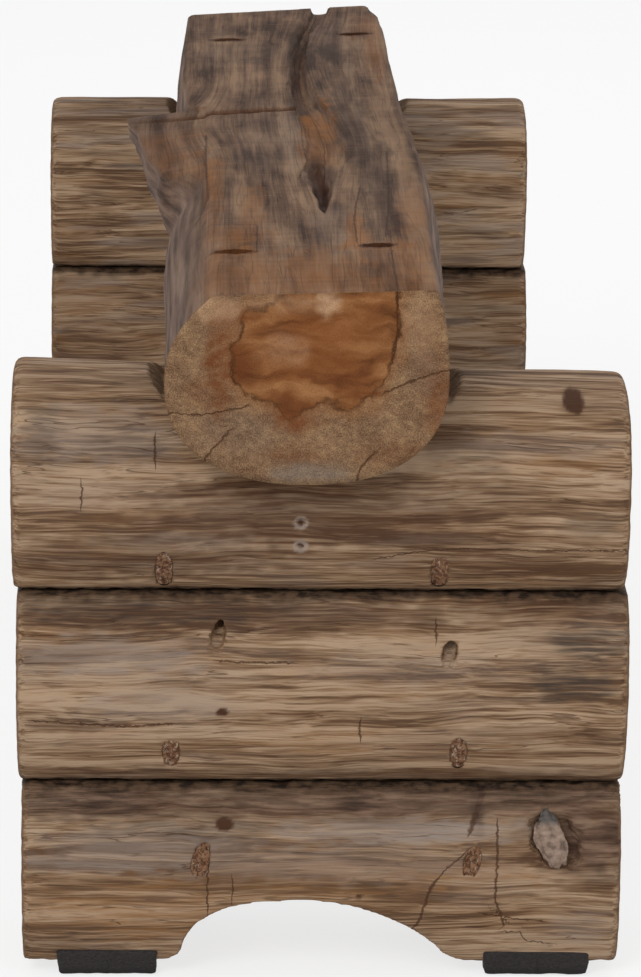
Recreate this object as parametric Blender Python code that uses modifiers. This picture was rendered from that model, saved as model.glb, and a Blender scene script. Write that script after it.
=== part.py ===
# Rustic teak log bench.
#
# Two supports, each of three short logs planed flat and stacked, carry one long
# live edge beam. The beam lies in saddles cut in the top logs. Screws driven at
# a slant from the outer faces hold each stack together, screws at the bottom of
# four slots hold the beam, and rubber pads are nailed under the bottom logs.
#
# Metres, +Z up, +Y along the seat. The origin is on the floor, under the middle
# of the bench.

from collections import namedtuple
from math import copysign, cos, pi, radians, sin

import bmesh
import bpy
from mathutils import Matrix, Vector

MM = 0.001

# Driving sizes of the bench
SEAT_LENGTH = 1116 * MM
SEAT_WIDTH = 188 * MM
SEAT_THICKNESS = 123 * MM
SEAT_FALL = 12 * MM
NEAR_OVERHANG = 94.4 * MM
FAR_OVERHANG = 126.6 * MM
STACK_SKEW = 8 * MM
SEAT_AXIS_SHIFT = -6 * MM
SADDLE_DEPTH = 51.5 * MM
SADDLE_FLARE = 7 * MM

# Seat beam
SIDE_DROP = 50 * MM
UNDERSIDE_SWELL = 6 * MM
FAR_END_SLANT = 34 * MM
SEAT_END_WEAR = 3 * MM
SEAT_EDGE_WEAR = 2.5 * MM
CRACK_DEPTH = 18 * MM
CRACK_MOUTH = 13 * MM
KNOT_HOLLOW_LENGTH = 140 * MM
KNOT_HOLLOW_WIDTH = 24 * MM
KNOT_HOLLOW_DEPTH = 20 * MM
SAW_STEP_DEPTH = 2.5 * MM
SAW_STEP_WIDTH = 5 * MM

# Logs of the two stacks
LOG_LENGTH = 391 * MM
LOG_DEPTH = 136 * MM
BOTTOM_LOG_HEIGHT = 121 * MM
MIDDLE_LOG_HEIGHT = 129 * MM
TOP_LOG_HEIGHT = 133.7 * MM
SEAM_WIDTH = 84 * MM
FOOT_FLAT_WIDTH = 107 * MM
CROWN_WIDTH = 12 * MM
LOG_END_WEAR = 3 * MM
ARCH_WIDTH = 176 * MM
ARCH_RISE = 42 * MM
ARCH_SHIFT = -7.5 * MM

# Rubber pads and their nails
PAD_LENGTH = 66 * MM
PAD_THICKNESS = 9 * MM
PAD_WIDTH = 106 * MM
PAD_EDGE_ROUND = 1.5 * MM
PAD_INSET = 22 * MM
NAIL_HEAD_RADIUS = 4.5 * MM
NAIL_HEAD_THICKNESS = 1.2 * MM
NAIL_SINK = 3 * MM
NAIL_RADIUS = 1.5 * MM
NAIL_LENGTH = 32 * MM
NAIL_SPACING = 62 * MM

# Slanted screws that hold the logs together, and their pockets
POCKET_RADIUS = 5 * MM
POCKET_DEPTH = 19 * MM
SCREW_RADIUS = 2.4 * MM
SCREW_HEAD_RADIUS = 4.3 * MM
SCREW_HEAD_HEIGHT = 3 * MM
SCREW_TIP = 6 * MM
TOE_SHANK = 66 * MM
LONG_TOE_SHANK = 84 * MM
TOE_ANGLE = radians(42)
STEEP_TOE_ANGLE = radians(55)
TOE_LEAN = radians(12)

# Heights of the pocket mouths, each from the seam that its screw crosses
TOP_MOUTH_HEIGHT = 20.5 * MM
MIDDLE_POCKET_DROP = 25 * MM
MIDDLE_POCKET_STEP = 11 * MM
MIDDLE_PLUG_HEIGHT = 28 * MM
BOTTOM_MOUTH_DROP = 48 * MM

# Screws down through the seat's slots, and how far they bite the saddle
SLOT_LENGTH = 29 * MM
SLOT_WIDTH = 13 * MM
SLOT_DEPTH = 22 * MM
SEAT_SCREW_BITE = 17 * MM

# Trim screws up through the top log into the seat: their mouths lie under the
# bottom of the saddle, one above the other
TRIM_SCREW_RADIUS = 1.9 * MM
TRIM_HEAD_RADIUS = 2.9 * MM
TRIM_HEAD_HEIGHT = 2 * MM
TRIM_HOLE_DEPTH = 14 * MM
TRIM_SCREW_BITE = 17 * MM
COUNTERSINK_RADIUS = 4.6 * MM
COUNTERSINK_DEPTH = 3 * MM
RAISING_ANGLE = radians(32)
RAISING_MOUTH_DROP = 31 * MM
RAISING_MOUTH_PITCH = 16.5 * MM

# Clearances, and how far a cutter runs past what it cuts
GAP = 0.3 * MM
TIP_GAP = 1 * MM
OVERRUN = 4 * MM

# Mesh fineness
FACE_STEPS = 9
ROUND_STEPS = 7
LENGTH_STEPS = 8
TURN_STEPS = 12
ROW_STEPS = 3
MERGE_DISTANCE = 0.01 * MM

# Seat plan, one row for each station along the beam from its near end: how far
# along, the left edge of the top face, the left side, the reach of the branch
# stub, the right edge and the right side. Along is a share of the seat length,
# the others are shares of the seat width.
SEAT_PLAN_SHARES = (
    (0.000, -0.352, -0.500, 0.000, 0.400, 0.440),
    (0.060, -0.355, -0.500, 0.000, 0.402, 0.447),
    (0.150, -0.360, -0.507, 0.000, 0.408, 0.462),
    (0.250, -0.363, -0.520, 0.000, 0.420, 0.482),
    (0.310, -0.368, -0.512, 0.000, 0.430, 0.497),
    (0.335, -0.371, -0.492, 0.000, 0.433, 0.498),
    (0.390, -0.375, -0.492, 0.110, 0.436, 0.494),
    (0.450, -0.377, -0.496, 0.162, 0.430, 0.462),
    (0.520, -0.379, -0.500, 0.188, 0.418, 0.442),
    (0.578, -0.384, -0.500, 0.215, 0.410, 0.435),
    (0.592, -0.430, -0.500, 0.000, 0.408, 0.434),
    (0.620, -0.455, -0.505, 0.000, 0.405, 0.434),
    (0.740, -0.474, -0.508, 0.000, 0.402, 0.436),
    (0.880, -0.474, -0.500, 0.000, 0.402, 0.427),
    (0.945, -0.464, -0.488, 0.000, 0.392, 0.414),
    (1.000, -0.446, -0.464, 0.000, 0.352, 0.378),
)
FAR_SLANT_START_SHARE = 0.85
TOP_FACE_SHARES = (0.02, 0.25, 0.5, 0.75, 0.98)
UPPER_SIDE_SHARES = (0.14, 0.45, 0.77)
STUB_WEIGHT_SHARES = (0.94, 1.0, 0.6)
UPPER_SIDE_POWER = 2.6
UNDERSIDE_POWER = 2.3

# The long crack on the seat, from the far end toward the near one: along,
# across, width and depth. Along is a share of the seat length and across of the
# seat width; width and depth are shares of the crack's mouth and groove.
CRACK_SHARES = (
    (1.020, 0.150, 1.00, 0.36),
    (0.960, 0.135, 0.90, 0.40),
    (0.915, 0.110, 0.75, 0.70),
    (0.860, 0.066, 0.72, 0.95),
    (0.793, 0.010, 0.80, 1.00),
    (0.709, 0.012, 0.90, 0.90),
    (0.649, 0.020, 0.85, 0.65),
    (0.553, 0.070, 0.90, 0.50),
    (0.481, 0.080, 0.90, 0.45),
    (0.430, 0.045, 0.80, 0.40),
)
KNOT_HOLLOW_ALONG_SHARE = 0.325
KNOT_HOLLOW_ACROSS_SHARE = -0.01
SAW_STEP_ALONG_SHARE = 0.545
SAW_STEP_ACROSS_SHARES = (-0.37, -0.02)

# The seat's slots: across as a share of the seat width, and the distance toward
# the other stack as a share of the log depth.
SLOT_SHARES = {
    "near": {"left": (-0.275, 0.205), "right": (0.225, 0.315)},
    "far": {"left": (-0.310, 0.350), "right": (0.270, 0.190)},
}

# Each log's own differences: length, sideways shift and depth as shares of the
# log length and depth, taper of the crown as a share of its height, and where
# its swelling starts as a share of a turn.
LogShares = namedtuple("LogShares", "length shift depth taper phase")
LOG_VARIATION_SHARES = {
    "near_bottom_log": LogShares(0.992, 0.004, 0.985, 0.0, 0.10),
    "near_middle_log": LogShares(1.002, 0.003, 1.000, 0.0, 0.55),
    "near_top_log": LogShares(1.002, -0.003, 1.010, 0.030, 0.80),
    "far_bottom_log": LogShares(1.006, 0.001, 0.990, 0.0, 0.35),
    "far_middle_log": LogShares(1.014, 0.002, 1.005, 0.0, 0.70),
    "far_top_log": LogShares(1.008, -0.001, 1.000, -0.008, 0.20),
}
SWELL_SHARE = 0.018
SECTION_POWER = 2.4
ARCH_STEEP_POWER = 2.2
ARCH_EASY_POWER = 1.4

# Across places of the slanted screws, as shares of the log length.
TOP_MOUTH_SHARES = (-0.254, 0.194)
MIDDLE_POCKET_SHARES = (-0.174, 0.204)
MIDDLE_PLUG_SHARES = (-0.248, 0.224)
BOTTOM_MOUTH_SHARES = (-0.201, 0.253)
RAISING_MOUTH_SHARE = -0.033

# Heights of the stack, from the floor up
BOTTOM_LOG_BASE = PAD_THICKNESS + GAP
MIDDLE_LOG_BASE = BOTTOM_LOG_BASE + BOTTOM_LOG_HEIGHT + GAP
TOP_LOG_BASE = MIDDLE_LOG_BASE + MIDDLE_LOG_HEIGHT + GAP
CROWN_HEIGHT = TOP_LOG_BASE + TOP_LOG_HEIGHT
SEAT_TOP = CROWN_HEIGHT - SADDLE_DEPTH + SEAT_THICKNESS

# Places along the bench: the seat's middle is at zero
SEAT_NEAR_END = -SEAT_LENGTH / 2
NEAR_STACK_Y = SEAT_NEAR_END + NEAR_OVERHANG
FAR_STACK_Y = SEAT_LENGTH / 2 - FAR_OVERHANG

Stack = namedtuple("Stack", "name y skew outward")
STACKS = (
    Stack("near", NEAR_STACK_Y, STACK_SKEW / 2, -1),
    Stack("far", FAR_STACK_Y, -STACK_SKEW / 2, 1),
)
LogLayer = namedtuple("LogLayer", "name base height foot_width head_width")
LAYERS = (
    LogLayer("bottom_log", BOTTOM_LOG_BASE, BOTTOM_LOG_HEIGHT, FOOT_FLAT_WIDTH, SEAM_WIDTH),
    LogLayer("middle_log", MIDDLE_LOG_BASE, MIDDLE_LOG_HEIGHT, SEAM_WIDTH, SEAM_WIDTH),
    LogLayer("top_log", TOP_LOG_BASE, TOP_LOG_HEIGHT, SEAM_WIDTH, CROWN_WIDTH),
)

# Colours, as linear red, green and blue
LOG_COLOUR = (0.235, 0.145, 0.082)
SEAT_COLOUR = (0.190, 0.112, 0.072)
PLUG_COLOUR = (0.330, 0.220, 0.140)
STEEL_COLOUR = (0.300, 0.290, 0.270)
RUBBER_COLOUR = (0.018, 0.018, 0.017)


# General helpers

def clear_scene():
    for item in list(bpy.data.objects):
        bpy.data.objects.remove(item)


def make_collection(name):
    group = bpy.data.collections.new(name)
    bpy.context.scene.collection.children.link(group)
    return group


def make_material(name, colour, roughness, metallic=0.0):
    material = bpy.data.materials.new(name)
    material.use_nodes = True
    shader = material.node_tree.nodes["Principled BSDF"]
    shader.inputs["Base Color"].default_value = (*colour, 1.0)
    shader.inputs["Roughness"].default_value = roughness
    shader.inputs["Metallic"].default_value = metallic
    return material


def ease(share):
    share = min(1.0, max(0.0, share))
    return share * share * (3.0 - 2.0 * share)


def eased_row(rows, along):
    # Values of a table at one place along it, eased between its rows.
    along = min(rows[-1][0], max(rows[0][0], along))
    for low, high in zip(rows, rows[1:]):
        if along <= high[0]:
            step = ease((along - low[0]) / (high[0] - low[0]))
            return [a + (b - a) * step for a, b in zip(low[1:], high[1:])]
    return list(rows[-1][1:])


def add_object(name, bm, group, material=None, smooth_angle=radians(32)):
    mesh = bpy.data.meshes.new(name)
    bmesh.ops.recalc_face_normals(bm, faces=bm.faces)
    bm.to_mesh(mesh)
    bm.free()
    item = bpy.data.objects.new(name, mesh)
    group.objects.link(item)
    if material:
        mesh.materials.append(material)
        mesh.shade_smooth()
        mesh.set_sharp_from_angle(angle=smooth_angle)
    return item


def loft(rings):
    # A closed skin through rings that have equal numbers of points.
    bm = bmesh.new()
    loops = [[bm.verts.new(point) for point in ring] for ring in rings]
    count = len(loops[0])
    for first, second in zip(loops, loops[1:]):
        for i in range(count):
            j = (i + 1) % count
            bm.faces.new((first[i], first[j], second[j], second[i]))
    bm.faces.new(loops[0])
    bm.faces.new(reversed(loops[-1]))
    return bm


def as_cutter(item):
    item.hide_render = True
    item.display_type = "WIRE"
    return item


def boolean(item, tool, operation="DIFFERENCE"):
    modifier = item.modifiers.new(tool.name, "BOOLEAN")
    modifier.operation = operation
    modifier.object = tool
    modifier.solver = "EXACT"


def turned(name, profile, group, material=None):
    # A profile of (radius, height) points from top to bottom, turned about Z.
    mesh = bpy.data.meshes.new(name)
    edges = [(i, i + 1) for i in range(len(profile) - 1)]
    mesh.from_pydata([(radius, 0, height) for radius, height in profile], edges, [])
    item = bpy.data.objects.new(name, mesh)
    group.objects.link(item)
    if material:
        mesh.materials.append(material)
    modifier = item.modifiers.new("Screw", "SCREW")
    modifier.axis = "Z"
    modifier.angle = 2 * pi
    modifier.steps = TURN_STEPS
    modifier.render_steps = TURN_STEPS
    modifier.use_merge_vertices = True
    modifier.merge_threshold = MERGE_DISTANCE
    modifier.use_smooth_shade = False
    return item


def aim(item, mouth, direction):
    # Its +Z looks back out of the wood, against the way the screw is driven.
    item.rotation_mode = "QUATERNION"
    item.rotation_quaternion = (-direction).to_track_quat("Z", "Y")
    item.location = mouth


def box(name, size, centre, group, material=None, edge_round=0.0):
    bm = bmesh.new()
    bmesh.ops.create_cube(bm, size=1.0, matrix=Matrix.Diagonal((*size, 1.0)))
    item = add_object(name, bm, group, material)
    item.location = centre
    if edge_round:
        bevel = item.modifiers.new("Bevel", "BEVEL")
        bevel.width = edge_round
        bevel.segments = 1
    return item


# Logs

def log_half_depth(level, half_depth, edge):
    # Half depth of a log at a level from 0 at its middle to 1 at its flat, on a
    # rounded square section that is cut to the flat's half width there.
    cut = 1.0 - (edge / half_depth) ** SECTION_POWER
    return half_depth * (1.0 - cut * abs(level) ** SECTION_POWER) ** (1.0 / SECTION_POWER)


def log_size(name):
    shares = LOG_VARIATION_SHARES[name]
    return shares.length * LOG_LENGTH, shares.depth * LOG_DEPTH / 2


def log_section(stack, layer, x, wear):
    # One ring of a log, in the YZ plane at x, from the foot up the outer face.
    name = f"{stack.name}_{layer.name}"
    shares = LOG_VARIATION_SHARES[name]
    length, half_depth = log_size(name)
    turn = x / length
    swell = 1.0 + SWELL_SHARE * sin(2 * pi * (turn + shares.phase))
    crown = layer.height * (1.0 - 2.0 * shares.taper * turn)
    half = crown / 2
    face = []
    for step in range(FACE_STEPS + 1):
        level = sin(pi * (step / FACE_STEPS - 0.5))
        edge = (layer.foot_width if level < 0 else layer.head_width) / 2
        depth = log_half_depth(level, half_depth * swell, edge)
        face.append((depth - wear, half + level * (half - wear)))
    outer = [(-depth, height) for depth, height in face]
    inner = list(reversed(face))
    return [Vector((x, y, z)) for y, z in outer + inner]


def log_skin(stack, layer):
    length = log_size(f"{stack.name}_{layer.name}")[0]
    inner_end = length / 2 - LOG_END_WEAR
    rings = [log_section(stack, layer, -length / 2, LOG_END_WEAR)]
    for step in range(LENGTH_STEPS + 1):
        x = inner_end * (2.0 * step / LENGTH_STEPS - 1.0)
        rings.append(log_section(stack, layer, x, 0))
    rings.append(log_section(stack, layer, length / 2, LOG_END_WEAR))
    return loft(rings)


def log_place(stack, layer):
    shift = LOG_VARIATION_SHARES[f"{stack.name}_{layer.name}"].shift * LOG_LENGTH
    return Vector((stack.skew + shift, stack.y, layer.base))


def build_log(stack, layer, parts, cutters, material):
    # The log itself, and its uncut blank, which trims the plugs flush.
    name = f"{stack.name}_{layer.name}"
    log = add_object(name, log_skin(stack, layer), parts, material)
    log.location = log_place(stack, layer)
    blank = as_cutter(add_object(f"{name}_blank", log_skin(stack, layer), cutters))
    blank.location = log.location
    return log, blank


def arch_outline():
    # Half superellipses with the steep side at -X and the easy side at +X.
    points = []
    half = ARCH_WIDTH / 2
    for step in range(2 * ROUND_STEPS + 1):
        angle = pi * (1.0 - step / (2 * ROUND_STEPS))
        power = ARCH_STEEP_POWER if step < ROUND_STEPS else ARCH_EASY_POWER
        across = copysign(abs(cos(angle)) ** (2.0 / power), cos(angle)) * half
        rise = abs(sin(angle)) ** (2.0 / power) * ARCH_RISE
        points.append((across, rise))
    points[0] = (-half, 0)
    points[-1] = (half, 0)
    return [(-half, -OVERRUN)] + points + [(half, -OVERRUN)]


def cut_arch(stack, log, cutters):
    reach = LOG_DEPTH / 2 + OVERRUN
    rings = []
    for y in (-reach, reach):
        rings.append([Vector((x, y, z)) for x, z in arch_outline()])
    cutter = as_cutter(add_object(f"{stack.name}_arch", loft(rings), cutters))
    cutter.location = (stack.skew + ARCH_SHIFT, stack.y, BOTTOM_LOG_BASE)
    boolean(log, cutter)


# Seat beam

def seat_top(along):
    return SEAT_TOP - SEAT_FALL * along


def seat_thickness(along):
    return SEAT_THICKNESS - SEAT_FALL * along + UNDERSIDE_SWELL * sin(pi * along)


def seat_axis_x():
    return STACKS[0].skew + SEAT_AXIS_SHIFT


def seat_point(along, x, drop):
    slant = ease((along - FAR_SLANT_START_SHARE) / (1.0 - FAR_SLANT_START_SHARE))
    y = SEAT_NEAR_END + along * SEAT_LENGTH
    y += slant * FAR_END_SLANT * (x / SEAT_WIDTH - SEAT_PLAN_SHARES[-1][5])
    return Vector((seat_axis_x() + x, y, seat_top(along) - drop))


def underside(left, right, depth):
    # Points of (across, drop) from the right side under to the left side.
    middle = (left + right) / 2
    half = (right - left) / 2
    points = []
    for step in range(2 * ROUND_STEPS + 1):
        angle = pi * step / (2 * ROUND_STEPS)
        across = copysign(abs(cos(angle)) ** (2.0 / UNDERSIDE_POWER), cos(angle))
        fall = abs(sin(angle)) ** (2.0 / UNDERSIDE_POWER)
        points.append((middle + half * across, SIDE_DROP + (depth - SIDE_DROP) * fall))
    return points


def seat_section(along, wear):
    # One ring of the seat: top face, right side, underside and left side.
    row = [share * SEAT_WIDTH for share in eased_row(SEAT_PLAN_SHARES, along)]
    left_edge, left_side, stub, right_edge, right_side = row
    depth = seat_thickness(along)
    width = right_edge - left_edge
    ring = []
    for share in TOP_FACE_SHARES:
        ring.append((left_edge + share * width, 0))
    right_column = []
    left_column = []
    for share, weight in zip(UPPER_SIDE_SHARES, STUB_WEIGHT_SHARES):
        lean = (1.0 - share) ** UPPER_SIDE_POWER
        drop = SEAT_EDGE_WEAR + share * (SIDE_DROP - SEAT_EDGE_WEAR)
        right_column.append((right_side + (right_edge - right_side) * lean, drop))
        left_reach = left_side + (left_edge - left_side) * lean - stub * weight
        left_column.append((left_reach, drop))
    ring.append((right_edge, SEAT_EDGE_WEAR))
    ring.extend(right_column)
    ring.extend(underside(left_side, right_side, depth))
    ring.extend(reversed(left_column))
    ring.append((left_edge, SEAT_EDGE_WEAR))
    middle = (left_side + right_side) / 2
    shrink = 1.0 - 2.0 * wear / SEAT_WIDTH
    points = []
    for across, drop in ring:
        worn_drop = wear + drop * (1.0 - 2.0 * wear / depth)
        points.append(seat_point(along, middle + (across - middle) * shrink, worn_drop))
    return points


def seat_stations():
    stations = []
    for low, high in zip(SEAT_PLAN_SHARES, SEAT_PLAN_SHARES[1:]):
        for step in range(ROW_STEPS):
            stations.append(low[0] + (high[0] - low[0]) * step / ROW_STEPS)
    wear_share = SEAT_END_WEAR / SEAT_LENGTH
    stations[0] = wear_share
    stations.append(1.0 - wear_share)
    return stations


def seat_skin():
    rings = [seat_section(0.0, SEAT_END_WEAR)]
    rings.extend(seat_section(along, 0) for along in seat_stations())
    rings.append(seat_section(1.0, SEAT_END_WEAR))
    return loft(rings)


def crack_cutter(cutters):
    # A run of V shaped rings that follows the crack from the far end.
    rings = []
    for along, across, width_share, depth_share in CRACK_SHARES:
        middle = seat_point(along, across * SEAT_WIDTH, 0)
        half = width_share * CRACK_MOUTH / 2
        depth = depth_share * CRACK_DEPTH
        ring = (
            (-half, OVERRUN),
            (half, OVERRUN),
            (half, 0),
            (half / 3, -depth),
            (-half / 3, -depth),
            (-half, 0),
        )
        rings.append([middle + Vector((x, 0, z)) for x, z in ring])
    return as_cutter(add_object("crack", loft(rings), cutters))


def hollow_cutter(cutters):
    bm = bmesh.new()
    bmesh.ops.create_uvsphere(bm, u_segments=TURN_STEPS, v_segments=ROUND_STEPS, radius=1.0)
    size = (KNOT_HOLLOW_WIDTH / 2, KNOT_HOLLOW_LENGTH / 2, KNOT_HOLLOW_DEPTH)
    bmesh.ops.scale(bm, vec=size, verts=bm.verts)
    item = as_cutter(add_object("knot_hollow", bm, cutters))
    across = KNOT_HOLLOW_ACROSS_SHARE * SEAT_WIDTH
    item.location = seat_point(KNOT_HOLLOW_ALONG_SHARE, across, 0)
    return item


def saw_step_cutter(cutters):
    low, high = (share * SEAT_WIDTH for share in SAW_STEP_ACROSS_SHARES)
    size = (high - low, SAW_STEP_WIDTH, 2 * SAW_STEP_DEPTH)
    centre = seat_point(SAW_STEP_ALONG_SHARE, (low + high) / 2, 0)
    return as_cutter(box("saw_step", size, centre, cutters))


def build_seat(parts, cutters, material):
    seat = add_object("seat_beam", seat_skin(), parts, material)
    for cutter in (crack_cutter(cutters), hollow_cutter(cutters), saw_step_cutter(cutters)):
        boolean(seat, cutter)
    return seat


def saddle_section(along):
    # The seat's underside, eased off by the gap and flared toward the crown.
    left_side, right_side = (eased_row(SEAT_PLAN_SHARES, along)[i] * SEAT_WIDTH for i in (1, 4))
    depth = seat_thickness(along)
    middle = (left_side + right_side) / 2
    ring = []
    for across, drop in underside(left_side, right_side, depth):
        rise = (depth - drop) / (depth - SIDE_DROP)
        ease_off = GAP + SADDLE_FLARE * rise ** 3
        ring.append((across + copysign(ease_off, across - middle), drop + GAP))
    lowest = len(ring) // 2
    ring[lowest] = (middle, depth + GAP)
    ring.append((ring[-1][0], -OVERRUN))
    ring.insert(0, (ring[0][0], -OVERRUN))
    return [seat_point(along, across, drop) for across, drop in ring]


def cut_saddle(stack, log, cutters):
    # Its rings stand where the seat's own rings do, one past each face.
    reach = LOG_DEPTH / 2 + OVERRUN
    low = (stack.y - reach - SEAT_NEAR_END) / SEAT_LENGTH
    high = (stack.y + reach - SEAT_NEAR_END) / SEAT_LENGTH
    stations = [0.0] + seat_stations() + [1.0]
    before = [along for along in stations if along <= low][-1:]
    within = [along for along in stations if low < along < high]
    after = [along for along in stations if along >= high][:1]
    rings = [saddle_section(along) for along in before + within + after]
    cutter = as_cutter(add_object(f"{stack.name}_saddle", loft(rings), cutters))
    boolean(log, cutter)


# Screws, plugs and nails

ScrewSize = namedtuple("ScrewSize", "radius head_radius head_height shank")


def log_screw(shank):
    return ScrewSize(SCREW_RADIUS, SCREW_HEAD_RADIUS, SCREW_HEAD_HEIGHT, shank)


def trim_screw(shank):
    return ScrewSize(TRIM_SCREW_RADIUS, TRIM_HEAD_RADIUS, TRIM_HEAD_HEIGHT, shank)


def screw_profile(size, depth):
    # From the head's top down to the tip; the head sits in a hole this deep.
    seat_level = GAP - depth
    return (
        (0, seat_level + size.head_height),
        (size.head_radius, seat_level + size.head_height),
        (size.head_radius, seat_level),
        (size.radius, seat_level),
        (size.radius, -depth - size.shank),
        (0, -depth - size.shank - SCREW_TIP),
    )


def bore_profile(size, depth):
    # The narrow part of a screw's hole, from the head's seat down.
    bore = size.radius + GAP
    end = -depth - size.shank - SCREW_TIP - TIP_GAP
    return ((bore, -depth), (bore, end), (0, end))


def pocket_profile(size):
    mouth = ((0, OVERRUN), (POCKET_RADIUS, OVERRUN), (POCKET_RADIUS, -POCKET_DEPTH))
    return mouth + bore_profile(size, POCKET_DEPTH)


def countersunk_profile(size):
    hole = size.head_radius + GAP
    mouth = (
        (0, OVERRUN),
        (COUNTERSINK_RADIUS, OVERRUN),
        (COUNTERSINK_RADIUS, 0),
        (hole, -COUNTERSINK_DEPTH),
        (hole, -TRIM_HOLE_DEPTH),
    )
    return mouth + bore_profile(size, TRIM_HOLE_DEPTH)


def drive_screw(name, size, depth, hole_profile, mouth, direction, woods, groups, steel):
    # A screw with its head at a depth in its hole, and the hole in each wood.
    parts, cutters = groups
    hole = as_cutter(turned(f"{name}_hole", hole_profile, cutters))
    screw = turned(name, screw_profile(size, depth), parts, steel)
    for item in (hole, screw):
        aim(item, mouth, direction)
    for wood in woods:
        boolean(wood, hole)


def fit_plug(name, mouth, direction, blank, parts, material):
    # A round plug over the screw's head, cut flush with the log's face.
    foot = SCREW_HEAD_HEIGHT + 2 * GAP - POCKET_DEPTH
    radius = POCKET_RADIUS - GAP
    profile = ((0, OVERRUN), (radius, OVERRUN), (radius, foot), (0, foot))
    plug = turned(name, profile, parts, material)
    aim(plug, mouth, direction)
    boolean(plug, blank, "INTERSECT")


def face_point(stack, layer, x_share, height):
    # A point on the outer face of a log, at a height above the log's base.
    half_depth = log_size(f"{stack.name}_{layer.name}")[1]
    level = 2.0 * height / layer.height - 1.0
    edge = (layer.foot_width if level < 0 else layer.head_width) / 2
    depth = log_half_depth(level, half_depth, edge)
    place = log_place(stack, layer)
    return place + Vector((x_share * LOG_LENGTH, stack.outward * depth, height))


def drive_direction(stack, angle, upward, lean=0.0):
    inward = -stack.outward * cos(angle)
    return Vector((sin(lean), inward * cos(lean), upward * sin(angle))).normalized()


ToeRow = namedtuple("ToeRow", "label carrier receiver shares heights upward angle shank plugged")


def toe_rows():
    # Each row is a pair of slanted screws from one log into the next.
    bottom, middle, top = LAYERS
    high_pocket = MIDDLE_LOG_HEIGHT - MIDDLE_POCKET_DROP
    low_pocket = high_pocket - MIDDLE_POCKET_STEP
    bottom_mouth = BOTTOM_LOG_HEIGHT - BOTTOM_MOUTH_DROP
    return (
        ToeRow("top_toe", top, middle, TOP_MOUTH_SHARES,
               (TOP_MOUTH_HEIGHT, TOP_MOUTH_HEIGHT), -1, TOE_ANGLE, TOE_SHANK, True),
        ToeRow("middle_up_toe", middle, top, MIDDLE_POCKET_SHARES,
               (high_pocket, low_pocket), 1, TOE_ANGLE, TOE_SHANK, False),
        ToeRow("middle_down_toe", middle, bottom, MIDDLE_PLUG_SHARES,
               (MIDDLE_PLUG_HEIGHT, MIDDLE_PLUG_HEIGHT), -1, TOE_ANGLE, TOE_SHANK, True),
        ToeRow("bottom_toe", bottom, middle, BOTTOM_MOUTH_SHARES,
               (bottom_mouth, bottom_mouth), 1, STEEP_TOE_ANGLE, LONG_TOE_SHANK, True),
    )


def fasten_logs(stack, logs, blanks, groups, steel, plug):
    for row in toe_rows():
        lean = TOE_LEAN if row.upward > 0 else 0.0
        direction = drive_direction(stack, row.angle, row.upward, lean)
        woods = (logs[row.carrier.name], logs[row.receiver.name])
        size = log_screw(row.shank)
        for side, share, height in zip(("left", "right"), row.shares, row.heights):
            mouth = face_point(stack, row.carrier, share, height)
            name = f"{stack.name}_{row.label}_screw_{side}"
            drive_screw(name, size, POCKET_DEPTH, pocket_profile(size), mouth, direction,
                        woods, groups, steel)
            if row.plugged:
                plug_name = f"{stack.name}_{row.label}_plug_{side}"
                blank = blanks[row.carrier.name]
                fit_plug(plug_name, mouth, direction, blank, groups[0], plug)


def raise_screws(stack, top_log, seat, groups, steel):
    # Two trim screws, one above the other, up through the top log into the seat.
    top = LAYERS[2]
    direction = drive_direction(stack, RAISING_ANGLE, 1)
    along = (stack.y - SEAT_NEAR_END) / SEAT_LENGTH
    saddle_height = seat_top(along) - seat_thickness(along) - top.base
    for label, drop in (("upper", RAISING_MOUTH_DROP),
                        ("lower", RAISING_MOUTH_DROP + RAISING_MOUTH_PITCH)):
        mouth = face_point(stack, top, RAISING_MOUTH_SHARE, saddle_height - drop)
        reach = (drop + TRIM_SCREW_BITE) / sin(RAISING_ANGLE)
        size = trim_screw(reach - TRIM_HOLE_DEPTH)
        name = f"{stack.name}_seat_trim_screw_{label}"
        drive_screw(name, size, TRIM_HOLE_DEPTH, countersunk_profile(size), mouth,
                    direction, (top_log, seat), groups, steel)


def slot_seat(stack, side, seat, top_log, groups, steel):
    # A short slot across the seat, with a screw at its bottom into the top log.
    across_share, inward_share = SLOT_SHARES[stack.name][side]
    y = stack.y - stack.outward * inward_share * LOG_DEPTH
    along = (y - SEAT_NEAR_END) / SEAT_LENGTH
    place = Vector((seat_axis_x() + across_share * SEAT_WIDTH, y, seat_top(along)))
    name = f"{stack.name}_seat_screw_{side}"
    slot_size = (SLOT_LENGTH, SLOT_WIDTH, 2 * SLOT_DEPTH)
    slot = as_cutter(box(f"{name}_slot", slot_size, place, groups[1]))
    boolean(seat, slot)
    size = log_screw(seat_thickness(along) - SLOT_DEPTH + SEAT_SCREW_BITE)
    hole_profile = ((0, 0), (size.radius + GAP, 0)) + bore_profile(size, SLOT_DEPTH)[1:]
    drive_screw(name, size, SLOT_DEPTH, hole_profile, place, Vector((0, 0, -1)),
                (seat, top_log), groups, steel)


def nail_profile():
    base = NAIL_SINK
    head = base + NAIL_HEAD_THICKNESS
    return (
        (0, head + NAIL_LENGTH),
        (NAIL_RADIUS, head + NAIL_LENGTH - 2 * NAIL_RADIUS),
        (NAIL_RADIUS, head),
        (NAIL_HEAD_RADIUS, head),
        (NAIL_HEAD_RADIUS, base),
        (0, base),
    )


def nail_hole_profile():
    shoulder = NAIL_SINK + NAIL_HEAD_THICKNESS + GAP
    top = NAIL_SINK + NAIL_HEAD_THICKNESS + NAIL_LENGTH + TIP_GAP
    bore = NAIL_RADIUS + GAP
    mouth = NAIL_HEAD_RADIUS + GAP
    return ((0, top), (bore, top), (bore, shoulder), (mouth, shoulder),
            (mouth, -OVERRUN), (0, -OVERRUN))


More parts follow.
